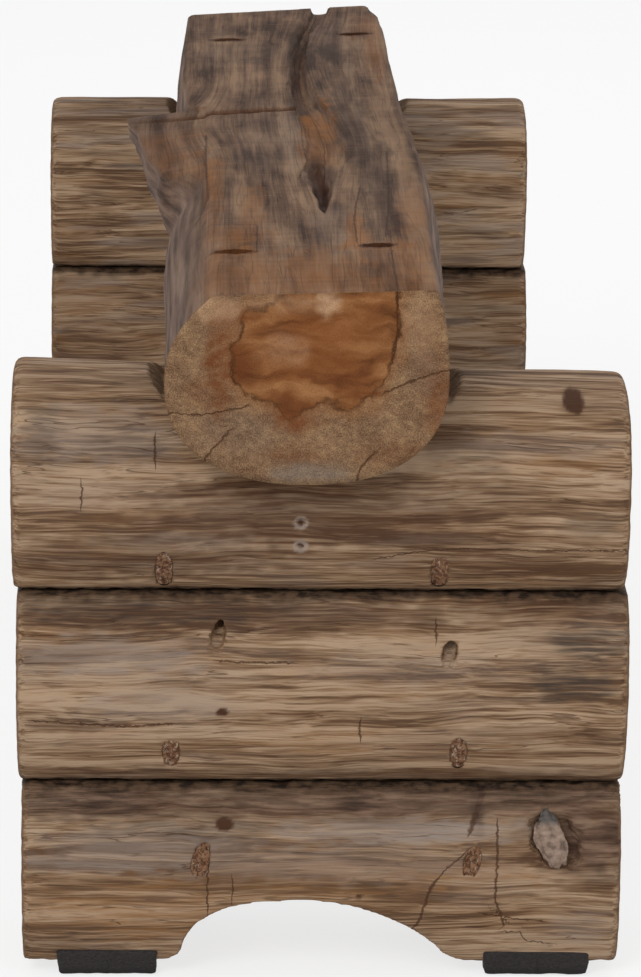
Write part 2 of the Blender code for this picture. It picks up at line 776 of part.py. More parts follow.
def build_feet(stack, log, groups, rubber, steel):
    parts, cutters = groups
    bottom = LAYERS[0]
    length = log_size(f"{stack.name}_{bottom.name}")[0]
    place = log_place(stack, bottom)
    offset = length / 2 - PAD_INSET - PAD_LENGTH / 2
    for side, sign in (("left", -1), ("right", 1)):
        centre = Vector((place.x + sign * offset, stack.y, PAD_THICKNESS / 2))
        size = (PAD_LENGTH, PAD_WIDTH, PAD_THICKNESS)
        name = f"{stack.name}_foot_pad_{side}"
        pad = box(name, size, centre, parts, rubber, PAD_EDGE_ROUND)
        for end, step in (("outer", stack.outward), ("inner", -stack.outward)):
            nail_name = f"{stack.name}_pad_nail_{side}_{end}"
            nail = turned(nail_name, nail_profile(), parts, steel)
            hole = as_cutter(turned(f"{nail_name}_hole", nail_hole_profile(), cutters))
            for item in (nail, hole):
                item.location = (centre.x, centre.y + step * NAIL_SPACING / 2, 0)
            boolean(pad, hole)
            boolean(log, hole)


def main():
    clear_scene()
    parts = make_collection("teak_bench")
    cutters = make_collection("cutters")
    groups = (parts, cutters)
    log_wood = make_material("teak_log", LOG_COLOUR, 0.75)
    seat_wood = make_material("teak_seat", SEAT_COLOUR, 0.62)
    plug_wood = make_material("wood_filler", PLUG_COLOUR, 0.85)
    steel = make_material("screw_steel", STEEL_COLOUR, 0.45, 1.0)
    rubber = make_material("pad_rubber", RUBBER_COLOUR, 0.8)

    seat = build_seat(parts, cutters, seat_wood)
    for stack in STACKS:
        logs = {}
        blanks = {}
        for layer in LAYERS:
            log, blank = build_log(stack, layer, parts, cutters, log_wood)
            logs[layer.name] = log
            blanks[layer.name] = blank
        cut_arch(stack, logs["bottom_log"], cutters)
        cut_saddle(stack, logs["top_log"], cutters)
        fasten_logs(stack, logs, blanks, groups, steel, plug_wood)
        raise_screws(stack, logs["top_log"], seat, groups, steel)
        for side in ("left", "right"):
            slot_seat(stack, side, seat, logs["top_log"], groups, steel)
        build_feet(stack, logs["bottom_log"], groups, rubber, steel)


main()
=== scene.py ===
"""Rustic teak log bench: fine meshes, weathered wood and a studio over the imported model.

Two stacks of three short logs carry a live edge beam. Metres, +Z up, +Y along the seat.
"""

from collections import namedtuple
from math import copysign, cos, pi, radians, sin

import bmesh
import bpy
import numpy as np
from bpy.props import FloatProperty, FloatVectorProperty, PointerProperty
from mathutils import Euler, Matrix, Vector, noise


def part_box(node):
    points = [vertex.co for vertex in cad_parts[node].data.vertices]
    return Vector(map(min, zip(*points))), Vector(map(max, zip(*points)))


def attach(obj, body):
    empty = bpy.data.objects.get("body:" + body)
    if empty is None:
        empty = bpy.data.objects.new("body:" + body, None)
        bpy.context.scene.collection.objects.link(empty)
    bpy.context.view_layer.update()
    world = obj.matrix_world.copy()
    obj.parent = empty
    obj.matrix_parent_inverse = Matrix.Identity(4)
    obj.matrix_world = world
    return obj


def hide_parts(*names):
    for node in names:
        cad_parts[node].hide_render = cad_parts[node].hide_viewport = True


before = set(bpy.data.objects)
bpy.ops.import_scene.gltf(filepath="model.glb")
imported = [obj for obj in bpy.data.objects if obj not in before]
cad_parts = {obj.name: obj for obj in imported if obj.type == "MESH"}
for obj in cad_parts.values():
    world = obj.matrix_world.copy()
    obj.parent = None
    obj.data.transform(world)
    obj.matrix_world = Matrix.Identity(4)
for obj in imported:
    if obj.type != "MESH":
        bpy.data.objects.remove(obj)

bl_info = {
    "name": "Teak Log Bench",
    "version": (1, 0, 0),
    "blender": (4, 5, 0),
    "location": "3D View > Sidebar > Bench",
    "description": "Builds the visible meshes, finishes and studio of a teak log bench",
    "category": "Object",
}

MM = 0.001


# Sizes and colours that a user would change

def length(name, default, description):
    return FloatProperty(name=name, description=description, default=default, unit="LENGTH",
                         precision=4)


def linear(code):
    """The linear red, green, blue and alpha of an sRGB hex colour."""
    parts = [int(code[i:i + 2], 16) / 255 for i in (1, 3, 5)]
    tuned = [p / 12.92 if p <= 0.04045 else ((p + 0.055) / 1.055) ** 2.4 for p in parts]
    return (*tuned, 1.0)


def colour(name, code, description):
    return FloatVectorProperty(name=name, description=description, default=linear(code),
                               subtype="COLOR", size=4, min=0.0, max=1.0)


class BenchSizes(bpy.types.PropertyGroup):
    """Sizes of the bench's visible pieces"""

    seat_length: length("Seat length", 1116 * MM, "Length of the beam")
    seat_width: length("Seat width", 188 * MM, "Width of the beam at its near end")
    seat_thickness: length("Seat thickness", 125 * MM, "Height of the beam at its near end")
    seat_fall: length("Seat fall", 17 * MM, "How much lower the far end's top is")
    seat_crown: length("Seat crown", 5 * MM, "How far the near end's top is above the CAD's")
    side_drop: length("Side drop", 57 * MM, "Depth at which the beam is widest")
    seat_swell: length("Underside swell", 6 * MM, "Extra depth at the beam's middle")
    seat_tilt: length("Seat tilt", 5.5 * MM, "How much lower the top is on its left")
    seat_axis: length("Seat axis", -2 * MM, "How far the beam lies to the left")
    far_slant: length("Far end slant", 34 * MM, "Slant of the far end's cut")
    saddle_flare: length("Saddle flare", 12 * MM, "Opening of the saddle at its brim")
    near_stack: length("Near stack", -463.6 * MM, "Place of the near stack along Y")
    far_stack: length("Far stack", 431.4 * MM, "Place of the far stack along Y")
    stack_skew: length("Stack skew", 4 * MM, "Sideways shift of each stack")
    log_length: length("Log length", 391 * MM, "Length of a short log")
    log_depth: length("Log depth", 136 * MM, "Thickness of a log along the bench")
    top_height: length("Top log height", 133.7 * MM, "Height of the top log's crown")
    seam_width: length("Seam width", 84 * MM, "Width of the planed contact faces")
    foot_width: length("Foot width", 107 * MM, "Width of the flat under the bottom log")
    crown_width: length("Crown width", 12 * MM, "Width of the flat on the top log")
    log_wear: length("Log end wear", 3.5 * MM, "Rounding of the log ends")
    arch_width: length("Arch width", 173 * MM, "Width of the arch between the feet")
    arch_rise: length("Arch rise", 47 * MM, "Height of the arch")
    arch_shift: length("Arch shift", -5.5 * MM, "How far the arch lies to the left")
    pocket_radius: length("Pocket radius", 5 * MM, "Radius of the slanted pockets")
    pocket_depth: length("Pocket depth", 19 * MM, "Depth of the slanted pockets")
    pad_reach: length("Pad reach", 7 * MM, "How far the pads bulge past their cut size")
    pad_press: length("Pad press", 10 * MM, "How far the worn logs have pressed into the pads")
    pad_round: length("Pad rounding", 2.2 * MM, "Rounding of the rubber pads' edges")
    log_step: length("Log mesh step", 1.75 * MM, "Spacing of the points on a log")


class BenchColours(bpy.types.PropertyGroup):
    """Colours of the bench's finishes"""

    log_dark: colour("Log, dark grain", "#5f4633", "Dark grain of the logs")
    log_mid: colour("Log, mid tone", "#8d7055", "Main tone of the logs")
    log_light: colour("Log, light grain", "#ae9378", "Light grain of the logs")
    log_grey: colour("Log, weathered", "#94857a", "Dry weathered surface of the logs")
    log_amber: colour("Log, amber", "#94693f", "Fresh amber tone of the logs")
    stain: colour("Stain", "#3a3431", "Grey black stains")
    umber: colour("Umber", "#472c1c", "Dark brown bands and cracks")
    # The seam colour paints grime and old glue, and the shade between the logs.
    dirt_and_shade: colour("Seam dirt", "#261b14", "Dirt and old glue in the seams")
    seat_dark: colour("Seat, dark grain", "#3a271c", "Dark figure of the seat")
    seat_mid: colour("Seat, mid tone", "#6b503d", "Main tone of the seat's top")
    seat_light: colour("Seat, light grain", "#8c6e53", "Light figure of the seat")
    seat_amber: colour("Seat, amber", "#875528", "Warm patches on the seat")
    seat_side: colour("Seat, live edge", "#6b5b51", "Grey lilac of the live edge")
    end_sap: colour("End grain", "#80634a", "End grain of the sapwood")
    end_heart: colour("Heart", "#7c4f2d", "Stained heartwood of the end face")
    end_rim: colour("Heart rim", "#4a2d18", "Dark outline of the stained heart")
    end_blue: colour("Blue stain", "#77726a", "Grey blue stain of the sapwood")
    filler: colour("Filler", "#8b6a50", "Sawdust filler in the pockets")
    steel: colour("Steel", "#4f4c49", "Phosphated screws")
    rubber: colour("Rubber", "#1f1c1b", "Rubber pads")
    floor: colour("Floor", "#f2f2f2", "Studio floor")


# General helpers

def sizes():
    return bpy.context.scene.bench_sizes


def colours():
    return bpy.context.scene.bench_colours


def ease(share):
    share = min(1.0, max(0.0, share))
    return share * share * (3.0 - 2.0 * share)


def eased_row(rows, along):
    """Values of a table at one place along it, eased between its rows."""
    along = min(rows[-1][0], max(rows[0][0], along))
    for low, high in zip(rows, rows[1:]):
        if along <= high[0]:
            step = ease((along - low[0]) / (high[0] - low[0]))
            return [a + (b - a) * step for a, b in zip(low[1:], high[1:])]
    return list(rows[-1][1:])


def block(cuts):
    """A closed box from -1 to 1, cut into a grid on every side."""
    bm = bmesh.new()
    bmesh.ops.create_cube(bm, size=2.0)
    for axis, count in enumerate(cuts):
        whole = [e for e in bm.edges if abs(e.verts[0].co[axis] - e.verts[1].co[axis]) > 1.5]
        bmesh.ops.subdivide_edges(bm, edges=whole, cuts=count, use_grid_fill=True)
    return bm


def finished_object(name, bm, material=None):
    """An object in the scene made from a bmesh, smooth all over."""
    mesh = bpy.data.meshes.new(name)
    bmesh.ops.recalc_face_normals(bm, faces=bm.faces)
    bm.to_mesh(mesh)
    bm.free()
    item = bpy.data.objects.new(name, mesh)
    bpy.context.scene.collection.objects.link(item)
    if material:
        mesh.materials.append(material)
    mesh.shade_smooth()
    return item


def carved(item, tools, step=0.0):
    """Cuts the item by the tools, and evens out its faces to one step if it has one."""
    for tool in tools:
        cut = item.modifiers.new("Cut", "BOOLEAN")
        cut.operation = "DIFFERENCE"
        cut.solver = "EXACT"
        cut.object = tool
    if step:
        even = item.modifiers.new("Even", "REMESH")
        even.mode = "VOXEL"
        even.voxel_size = step
        even.use_smooth_shade = True
    graph = bpy.context.evaluated_depsgraph_get()
    mesh = bpy.data.meshes.new_from_object(item.evaluated_get(graph))
    item.modifiers.clear()
    old = item.data
    item.data = mesh
    bpy.data.meshes.remove(old)
    for tool in tools:
        bpy.data.meshes.remove(tool.data)
    return item


def points_of(mesh):
    """Places and normals of a mesh's points, as arrays."""
    places = np.empty(len(mesh.vertices) * 3)
    mesh.vertices.foreach_get("co", places)
    normals = np.array([tuple(v.normal) for v in mesh.vertices])
    return places.reshape(-1, 3), normals


def grain(places, size, seed=0.0, octaves=1):
    """Noise from -1 to 1 whose lumps have this size, in millimetres, along X, Y and Z."""
    scaled = places / (np.array(size) * MM) + seed
    if octaves == 1:
        return np.array([noise.noise(p) for p in scaled])
    return np.array([noise.fractal(p, 0.9, 2.1, octaves) for p in scaled])


def soft_step(values, low, high):
    share = np.clip((values - low) / (high - low), 0.0, 1.0)
    return share * share * (3.0 - 2.0 * share)


def set_marks(mesh, name, channels):
    """Keeps four shares on each point of the mesh as a colour attribute."""
    attribute = mesh.attributes.new(name, "FLOAT_COLOR", "POINT")
    table = np.clip(np.stack(channels, axis=1), 0.0, 1.0)
    attribute.data.foreach_set("color", table.astype(np.float32).ravel())


def move_points(mesh, places):
    mesh.vertices.foreach_set("co", places.ravel())
    mesh.update()


def dress(item, material):
    """The item wears this material only, and is smooth."""
    item.data.materials.clear()
    item.data.materials.append(material)
    item.data.shade_smooth()


def take_place(item, slot, *nodes):
    """The item stands for CAD nodes and moves with the bench."""
    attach(item, "root")
    if nodes:
        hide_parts(*nodes)
    return item


# Forms of the seat beam

# One row for each station along the beam from its near end: how far along, the
# left edge of the top, the left side, the reach of the branch stub, the right
# edge and the right side, as shares of the length and of the width.
SEAT_PLAN_SHARES = (
    (0.000, -0.352, -0.500, 0.000, 0.400, 0.440),
    (0.060, -0.355, -0.500, 0.000, 0.402, 0.447),
    (0.150, -0.360, -0.507, 0.000, 0.408, 0.462),
    (0.250, -0.363, -0.520, 0.000, 0.420, 0.482),
    (0.310, -0.368, -0.512, 0.000, 0.430, 0.497),
    (0.335, -0.371, -0.492, 0.000, 0.433, 0.498),
    (0.390, -0.375, -0.492, 0.110, 0.436, 0.494),
    (0.450, -0.377, -0.496, 0.162, 0.430, 0.462),
    (0.520, -0.379, -0.500, 0.188, 0.418, 0.442),
    (0.574, -0.384, -0.500, 0.225, 0.410, 0.435),
    (0.585, -0.430, -0.500, 0.000, 0.408, 0.434),
    (0.620, -0.455, -0.505, 0.000, 0.405, 0.434),
    (0.740, -0.474, -0.508, 0.000, 0.402, 0.436),
    (0.880, -0.474, -0.500, 0.000, 0.402, 0.427),
    (0.945, -0.464, -0.488, 0.000, 0.392, 0.414),
    (1.000, -0.466, -0.484, 0.000, 0.360, 0.386),
)
# How far the branch stub reaches at each share of the side's drop
STUB_SHARES = ((0.0, 1.30), (0.06, 1.28), (0.15, 1.18), (0.30, 1.05), (0.50, 0.80), (0.77, 0.4),
               (1.0, 0.0))
# The long drying crack and the valley worn beside it: along, left edge and right
# edge as shares of the width, and depth as a share of the groove's depth
GROOVE_SHARES = (
    (0.200, 0.048, 0.059, 0.00),
    (0.250, 0.032, 0.078, 0.30),
    (0.297, 0.016, 0.090, 0.45),
    (0.347, 0.006, 0.125, 0.45),
    (0.383, 0.006, 0.170, 0.36),
    (0.433, 0.014, 0.162, 0.32),
    (0.500, 0.008, 0.144, 0.34),
    (0.556, -0.013, 0.117, 0.42),
    (0.598, -0.020, 0.088, 0.55),
    (0.652, -0.034, 0.055, 0.60),
    (0.768, -0.013, 0.050, 0.62),
    (0.858, 0.014, 0.070, 0.50),
    (0.894, 0.034, 0.092, 0.46),
    (0.952, 0.070, 0.154, 0.36),
    (1.000, 0.092, 0.180, 0.36),
)
GROOVE_DEPTH = 16 * MM
# Half the stretch of the width in which a deep place counts as groove, and the
# depth in millimetres under which it counts as live edge
GROOVE_SPAN_SHARE = 0.34
GROOVE_DEEPEST = 45
# The rotted knot at the valley's near end: along and across its middle, half
# length and half width
KNOT_SHARES = (0.318, 0.055, 0.090, 0.044)
KNOT_DEPTH = 15 * MM
# The shallow saw cut across the top: along and across of its two ends, and its
# half width and depth
SAW_SHARES = ((0.545, -0.64), (0.567, -0.01))
SAW_WIDTH = 8 * MM
SAW_DEPTH = 3.5 * MM
SEAT_WEAR = 2.2 * MM
SIDE_POWER = 2.3
UNDER_POWER = 2.3
SLANT_START_SHARE = 0.85
# How much of the top's fall the underside follows, where the top starts to lean
# across the width, and how deep the middle of the sections lies
UNDER_FALL_SHARE = 0.8
LEAN_START_SHARE = 0.42
CORE_SHARE = 0.45
# The height in a section's square at which the live edge meets the underside
EDGE_LEVEL = -0.0002


class Seat:
    """Sizes and place of the beam, with its top taken from its CAD node."""

    def __init__(self):
        s = sizes()
        self.length = s.seat_length
        self.width = s.seat_width
        self.thickness = s.seat_thickness
        self.fall = s.seat_fall
        self.side_drop = s.side_drop
        self.swell = s.seat_swell
        self.axis = s.seat_axis
        self.slant = s.far_slant
        self.tilt = s.seat_tilt
        self.near_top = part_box("seat_beam")[1].z + s.seat_crown

    def top(self, along):
        return self.near_top - self.fall * along

    def depth(self, along):
        fall = UNDER_FALL_SHARE * self.fall * along
        return self.thickness - fall + self.swell * sin(pi * along)

    def rim(self, along, u, w):
        """Across and drop of a point on the beam's outline, from the rim of a square."""
        row = [share * self.width for share in eased_row(SEAT_PLAN_SHARES, along)]
        left_edge, left_side, stub, right_edge, right_side = row
        depth = self.depth(along)
        if w > 0.9999:
            share = (1 + u * (0.7 + 0.3 * u * u)) / 2
            across = left_edge + share * (right_edge - left_edge)
            brim = min(share, 1 - share) * (right_edge - left_edge)
            return across, SEAT_WEAR * max(0.0, 1 - brim / (2 * SEAT_WEAR)) ** 2
        if w > 0 or (abs(w) < 0.0001 and abs(u) > 0.9999):
            share = 1 - w
            lean = (1 - share) ** SIDE_POWER
            drop = SEAT_WEAR + share * (self.side_drop - SEAT_WEAR)
            if u > 0:
                return right_side + (right_edge - right_side) * lean, drop
            reach = eased_row(STUB_SHARES, share)[0] * stub
            return left_side + (left_edge - left_side) * lean - reach, drop
        if w > -0.9999:
            angle = -w * pi / 4
            angle = angle if u > 0 else pi - angle
        else:
            angle = pi / 2 - u * pi / 4
        middle = (left_side + right_side) / 2
        half = (right_side - left_side) / 2
        across = copysign(abs(cos(angle)) ** (2 / UNDER_POWER), cos(angle))
        fall = abs(sin(angle)) ** (2 / UNDER_POWER)
        return middle + half * across, self.side_drop + (depth - self.side_drop) * fall

    def groove(self, along, across):
        """How deep the crack, the worn valley and the rotted knot cut into the top."""
        left, right, depth = eased_row(GROOVE_SHARES, along)
        jag = 0.010 * noise.fractal(Vector((along * 30, across * 60, 3.1)), 0.9, 2.1, 2)
        share = across / self.width
        place = (share + jag - left) / (right - left)
        wall = min(place, 1 - place) * (right - left) * self.width / (2.6 * MM)
        floor = 0.75 + 0.25 * sin(pi * min(1.0, max(0.0, place)))
        cut = GROOVE_DEPTH * depth * floor * ease(wall) * (along > GROOVE_SHARES[0][0])
        y, x, half_length, half_width = KNOT_SHARES
        reach = ((along - y) / half_length) ** 2
        wide = half_width * (1 + 0.6 * (along - y) / half_length)
        reach += ((share - x + 0.10 * (along - y) + jag) / max(0.004, wide)) ** 2
        reach += 0.30 * noise.noise(Vector((along * 44, share * 24, 7)))
        hollow = KNOT_DEPTH * max(0.0, 1 - reach) ** 0.7
        return max(cut, hollow, SAW_DEPTH * self.sawn(along, share))

    def sawn(self, along, share):
        """From 0 to 1, how far into the saw cut a place lies."""
        (y0, x0), (y1, x1) = SAW_SHARES
        run = (share - x0) / (x1 - x0)
        away = np.abs(along - y0 - run * (y1 - y0)) * self.length
        return np.clip(1 - away / SAW_WIDTH, 0, 1) * (run > 0) * (run < 1)

    def point(self, along, across, drop):
        slant = ease((along - SLANT_START_SHARE) / (1 - SLANT_START_SHARE))
        y = (along - 0.5) * self.length
        y += slant * self.slant * (across / self.width - SEAT_PLAN_SHARES[-1][5])
        low = (LEAN_START_SHARE - across / self.width) * (1 - drop / self.depth(along))
        z = self.top(along) - drop - self.tilt * max(0.0, low)
        return Vector((self.axis + across, y, z))

    def section(self, along, u, w):
        """Across and drop of a point of the section, from its place in a square."""
        depth = self.depth(along)
        size = max(abs(u), abs(w))
        if size < 0.0001:
            return 0.0, CORE_SHARE * depth
        across, drop = self.rim(along, u / size, w / size)
        return size * across, CORE_SHARE * depth + size * (drop - CORE_SHARE * depth)

    def blank(self, cuts):
        bm = block(cuts)
        for v in bm.verts:
            along = (v.co.y + 1) / 2
            across, drop = self.section(along, v.co.x, v.co.z)
            depth = self.depth(along)
            cut = self.groove(along, across)
            v.co = self.point(along, across, cut + drop * (depth - cut) / depth)
        return finished_object("live_edge_seat", bm)

    def fuller(self, cuts, start, end, extra, flare, lift):
        """A fuller copy of a stretch of the beam, to cut a saddle with."""
        bm = block(cuts)
        for v in bm.verts:
            u, w = v.co.x, v.co.z
            along = start + (v.co.y + 1) / 2 * (end - start)
            depth = self.depth(along)
            left, right = [self.rim(along, side, EDGE_LEVEL)[0] for side in (-1, 1)]
            middle, half = (left + right) / 2, (right - left) / 2
            if w >= 0:
                across = middle + u * (half + extra + flare)
                drop = self.side_drop - lift * w
            else:
                size = max(abs(u), abs(w))
                across, drop = self.rim(along, u / size, min(w / size, EDGE_LEVEL))
                rise = (depth - drop) / (depth - self.side_drop)
                across += (extra + flare * rise ** 5) * (across - middle) / half
                across = middle + size * (across - middle)
                drop = self.side_drop + size * (drop + extra - self.side_drop)
            v.co = self.point(along, across, drop)
        return finished_object("saddle_tool", bm)


# Slots in the seat's top: across, along, turn in degrees, half length in
# millimetres and how dark the painted shade in them is
SLOTS = ((-53, -431, 2, 14, 0.75), (40, -421, 0, 11, 0.95), (-56, 394, 8, 14, 0.9),
         (49, 409, 0, 14, 0.9))
SLOT_WIDTH = 7 * MM


def slot_tools(seat):
    """Tapered prisms that cut the four short slots in the seat's top."""
    bm = bmesh.new()
    for x, y, turn, size, _ in SLOTS:
        place = Vector((x * MM, y * MM, seat.top(0.5)))
        flat = Matrix.Diagonal((size * MM, SLOT_WIDTH, 22 * MM, 1.0))
        turned = Matrix.Rotation(radians(turn), 4, "Z")
        bmesh.ops.create_cone(bm, cap_ends=True, segments=24, radius1=0.75, radius2=1.0,
                              depth=2.0, matrix=Matrix.Translation(place) @ turned @ flat)
    return finished_object("slot_tools", bm)


# Forms of the logs

# Each log's own differences: length, sideways shift and depth as shares of the
# log length and depth, taper of the crown, and start of its swelling.
LogShares = namedtuple("LogShares", "length shift depth taper phase")
LOG_SHARES = {
    "near_bottom_log": LogShares(0.992, 0.004, 0.985, 0.0, 0.10),
    "near_middle_log": LogShares(1.002, 0.003, 1.000, 0.0, 0.55),
    "near_top_log": LogShares(1.002, -0.003, 1.010, 0.030, 0.80),
    "far_bottom_log": LogShares(1.006, 0.001, 0.990, 0.0, 0.35),
    "far_middle_log": LogShares(1.014, 0.002, 1.005, 0.0, 0.70),
    "far_top_log": LogShares(1.008, -0.001, 1.000, -0.008, 0.20),
}
SECTION_POWER = 2.4
SWELL_SHARE = 0.018
# Roundness of the arch and its share of the half width, at its left and right
ARCH_LEFT = (2.7, 0.97)
ARCH_RIGHT = (1.7, 1.03)
ARCH_FLARE = 11 * MM
ARCH_FLARE_RISE = 0.22
# How far the arch's cutter reaches along the bench and under the log
ARCH_REACH = 90 * MM
ARCH_START = 8 * MM

# Screw pockets: log, share of the length, height, slope down or up in degrees,
# sideways lean and whether filler closes it
Pocket = namedtuple("Pocket", "label log share height slope lean filled")
POCKETS = (
    Pocket("top_toe_plug_left", "top_log", -0.254, 20.5, -42, 0, True),
    Pocket("top_toe_plug_right", "top_log", 0.194, 20.5, -42, 0, True),
    Pocket("open_left", "middle_log", -0.174, 101.5, 42, 12, False),
    Pocket("open_right", "middle_log", 0.204, 91.5, 42, 12, False),
    Pocket("middle_down_toe_plug_left", "middle_log", -0.248, 28.0, -42, 0, True),
    Pocket("middle_down_toe_plug_right", "middle_log", 0.224, 28.0, -42, 0, True),
    Pocket("bottom_toe_plug_left", "bottom_log", -0.201, 73.0, 55, 12, True),
    Pocket("bottom_toe_plug_right", "bottom_log", 0.248, 73.0, 55, 12, True),
)
OPEN_POCKET_SHARE = 0.88
# How far outside the log a pocket's cutter starts, and how deep the filler goes
POCKET_START = 3 * MM
PLUG_DEPTH = 14 * MM


class Log:
    """Sizes and place of one log, taken from its CAD node."""

    def __init__(self, name):
        s = sizes()
        self.name = name
        self.stack, self.layer = name.split("_", 1)
        self.shares = LOG_SHARES[name]
        low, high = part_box(name)
        self.length = self.shares.length * s.log_length
        self.half_depth = self.shares.depth * s.log_depth / 2
        self.height = s.top_height if self.layer == "top_log" else high.z - low.z
        self.outward = -1 if self.stack == "near" else 1
        y = s.near_stack if self.stack == "near" else s.far_stack
        skew = -self.outward * s.stack_skew
        self.place = Vector((skew + self.shares.shift * s.log_length, y, low.z))
        self.foot = s.foot_width if self.layer == "bottom_log" else s.seam_width
        self.head = s.crown_width if self.layer == "top_log" else s.seam_width
        self.wear = s.log_wear

    def depth_at(self, level):
        edge = (self.foot if level < 0 else self.head) / 2
        cut = 1 - (edge / self.half_depth) ** SECTION_POWER
        share = (1 - cut * abs(level) ** SECTION_POWER) ** (1 / SECTION_POWER)
        return self.half_depth * share

    def point(self, across, side, level):
        """A point of the log, with across, side and level from -1 to 1."""
        turn = across / 2
        swell = 1 + SWELL_SHARE * sin(2 * pi * (turn + self.shares.phase))
        crown = self.height * (1 - 2 * self.shares.taper * turn)
        edge = (self.foot if level < 0 else self.head) / 2
        depth = edge + (self.depth_at(level) - edge) * swell
        # The ends are worn round: the section shrinks over the last stretch.
        bare = max(0.0, 1 - (1 - abs(across)) * self.length / 2 / self.wear)
        inset = self.wear * (1 - (1 - bare * bare) ** 0.5)
        z = crown / 2 + (crown / 2 - inset) * level
        return self.place + Vector((turn * self.length, side * (depth - inset), z))

    def mouth(self, pocket):
        level = 2 * pocket.height * MM / self.height - 1
        x = pocket.share * sizes().log_length
        depth = self.outward * self.depth_at(level)
        return self.place + Vector((x, depth, pocket.height * MM))

    def drive(self, pocket):
        """Direction in which the pocket's screw is driven."""
        slope, lean = radians(pocket.slope), radians(pocket.lean)
        inward = -self.outward * cos(slope) * cos(lean)
        return Vector((sin(lean), inward, sin(slope))).normalized()


def log_blank(log):
    bm = block((88, 18, 32))
    for v in bm.verts:
        across, side, level = v.co
        v.co = log.point(sin(pi / 2 * across), side, sin(pi / 2 * level))
    return finished_object(log.name, bm)


def arch_tool(log):
    """A prism under the arch, steep on its left and easy on its right."""
    s = sizes()
    bm = block((48, 2, 1))
    half = s.arch_width / 2
    for v in bm.verts:
        share = sin(pi / 2 * v.co.x)
        power, wide = ARCH_LEFT if share < 0 else ARCH_RIGHT
        rise = (1 - abs(share) ** power) ** (1 / power)
        flare = ARCH_FLARE * max(0.0, 1 - rise / ARCH_FLARE_RISE) ** 2
        x = share * half * wide + copysign(flare, share)
        z = s.arch_rise * rise if v.co.z > 0 else -ARCH_START
        skew = log.place.x - log.shares.shift * s.log_length
        v.co = Vector((skew + s.arch_shift + x, log.place.y + v.co.y * ARCH_REACH,
                       log.place.z + z))
    return finished_object("arch_tool", bm)


# The two small countersunk holes in each top log: heights in millimetres, place as a
# share of the length, upward slope in degrees, and radii and depth of the cutter
TRIM_HOLES = (312, 296)
TRIM_SHARE = -0.033
TRIM_SLOPE = 32
TRIM_RADII = (2.2 * MM, 4.6 * MM)
TRIM_DEPTH = 8 * MM


def pocket_tools(log):
    """Round pins at the mouths of the log's screw pockets and small holes."""
    s = sizes()
    bm = bmesh.new()
    for pocket in POCKETS:
        if pocket.log != log.layer:
            continue
        turn = (-log.drive(pocket)).to_track_quat("Z", "Y").to_matrix().to_4x4()
        middle = log.mouth(pocket) + log.drive(pocket) * (s.pocket_depth / 2 - POCKET_START)
        radius = s.pocket_radius * (1.0 if pocket.filled else OPEN_POCKET_SHARE)
        bmesh.ops.create_cone(bm, cap_ends=True, segments=28, radius1=radius,
                              radius2=radius + 0.3 * MM, depth=s.pocket_depth + 2 * POCKET_START,
                              matrix=Matrix.Translation(middle) @ turn)
    if log.layer == "top_log":
        for height in TRIM_HOLES:
            level = height - log.place.z / MM
            pin = Pocket("", "", TRIM_SHARE, level, TRIM_SLOPE, 0, False)
            turn = (-log.drive(pin)).to_track_quat("Z", "Y").to_matrix().to_4x4()
            place = Matrix.Translation(log.mouth(pin)) @ turn
            bmesh.ops.create_cone(bm, cap_ends=True, segments=20, radius1=TRIM_RADII[0],
                                  radius2=TRIM_RADII[1], depth=TRIM_DEPTH, matrix=place)
    return finished_object("pocket_tools", bm)


# How far the saddle's cutter reaches along the beam and up, and its clearance
SADDLE_REACH = 80 * MM
SADDLE_LIFT = 70 * MM
SADDLE_GAP = 0.6 * MM


def saddle_tool(log, seat):
    """The beam's underside, eased off and opened at its brim."""
    s = sizes()
    middle = log.place.y / s.seat_length + 0.5
    reach = SADDLE_REACH / s.seat_length
    start, end = max(-0.05, middle - reach), min(1.05, middle + reach)
    return seat.fuller((26, 24, 26), start, end, SADDLE_GAP, s.saddle_flare,
                       SADDLE_LIFT)


# Chips broken off the saddle's brim at its left and right
BRIM_CHIPS = {"near_top_log": (11 * MM, 11 * MM), "far_top_log": (4 * MM, 17 * MM)}


def brim_tool(log, seat):
    """Two bars on edge, which break off the corners where the saddle meets the crown."""
    along = log.place.y / seat.length + 0.5
    bm = bmesh.new()
    for side, chip in zip((-1, 1), BRIM_CHIPS[log.name]):
        x = seat.axis + seat.rim(along, side, EDGE_LEVEL)[0]
        turn = (x - log.place.x) / log.length
        crown = log.place.z + log.height * (1 - 2 * log.shares.taper * turn)
        bar = Matrix.Translation((x, log.place.y, crown)) @ Matrix.Rotation(pi / 4, 4, "Y")
        width = chip * 2 ** 0.5
        bmesh.ops.create_cube(bm, size=1.0, matrix=bar @ Matrix.Diagonal(
            (width, 0.2, width, 1.0)))
    return finished_object("brim_tool", bm)


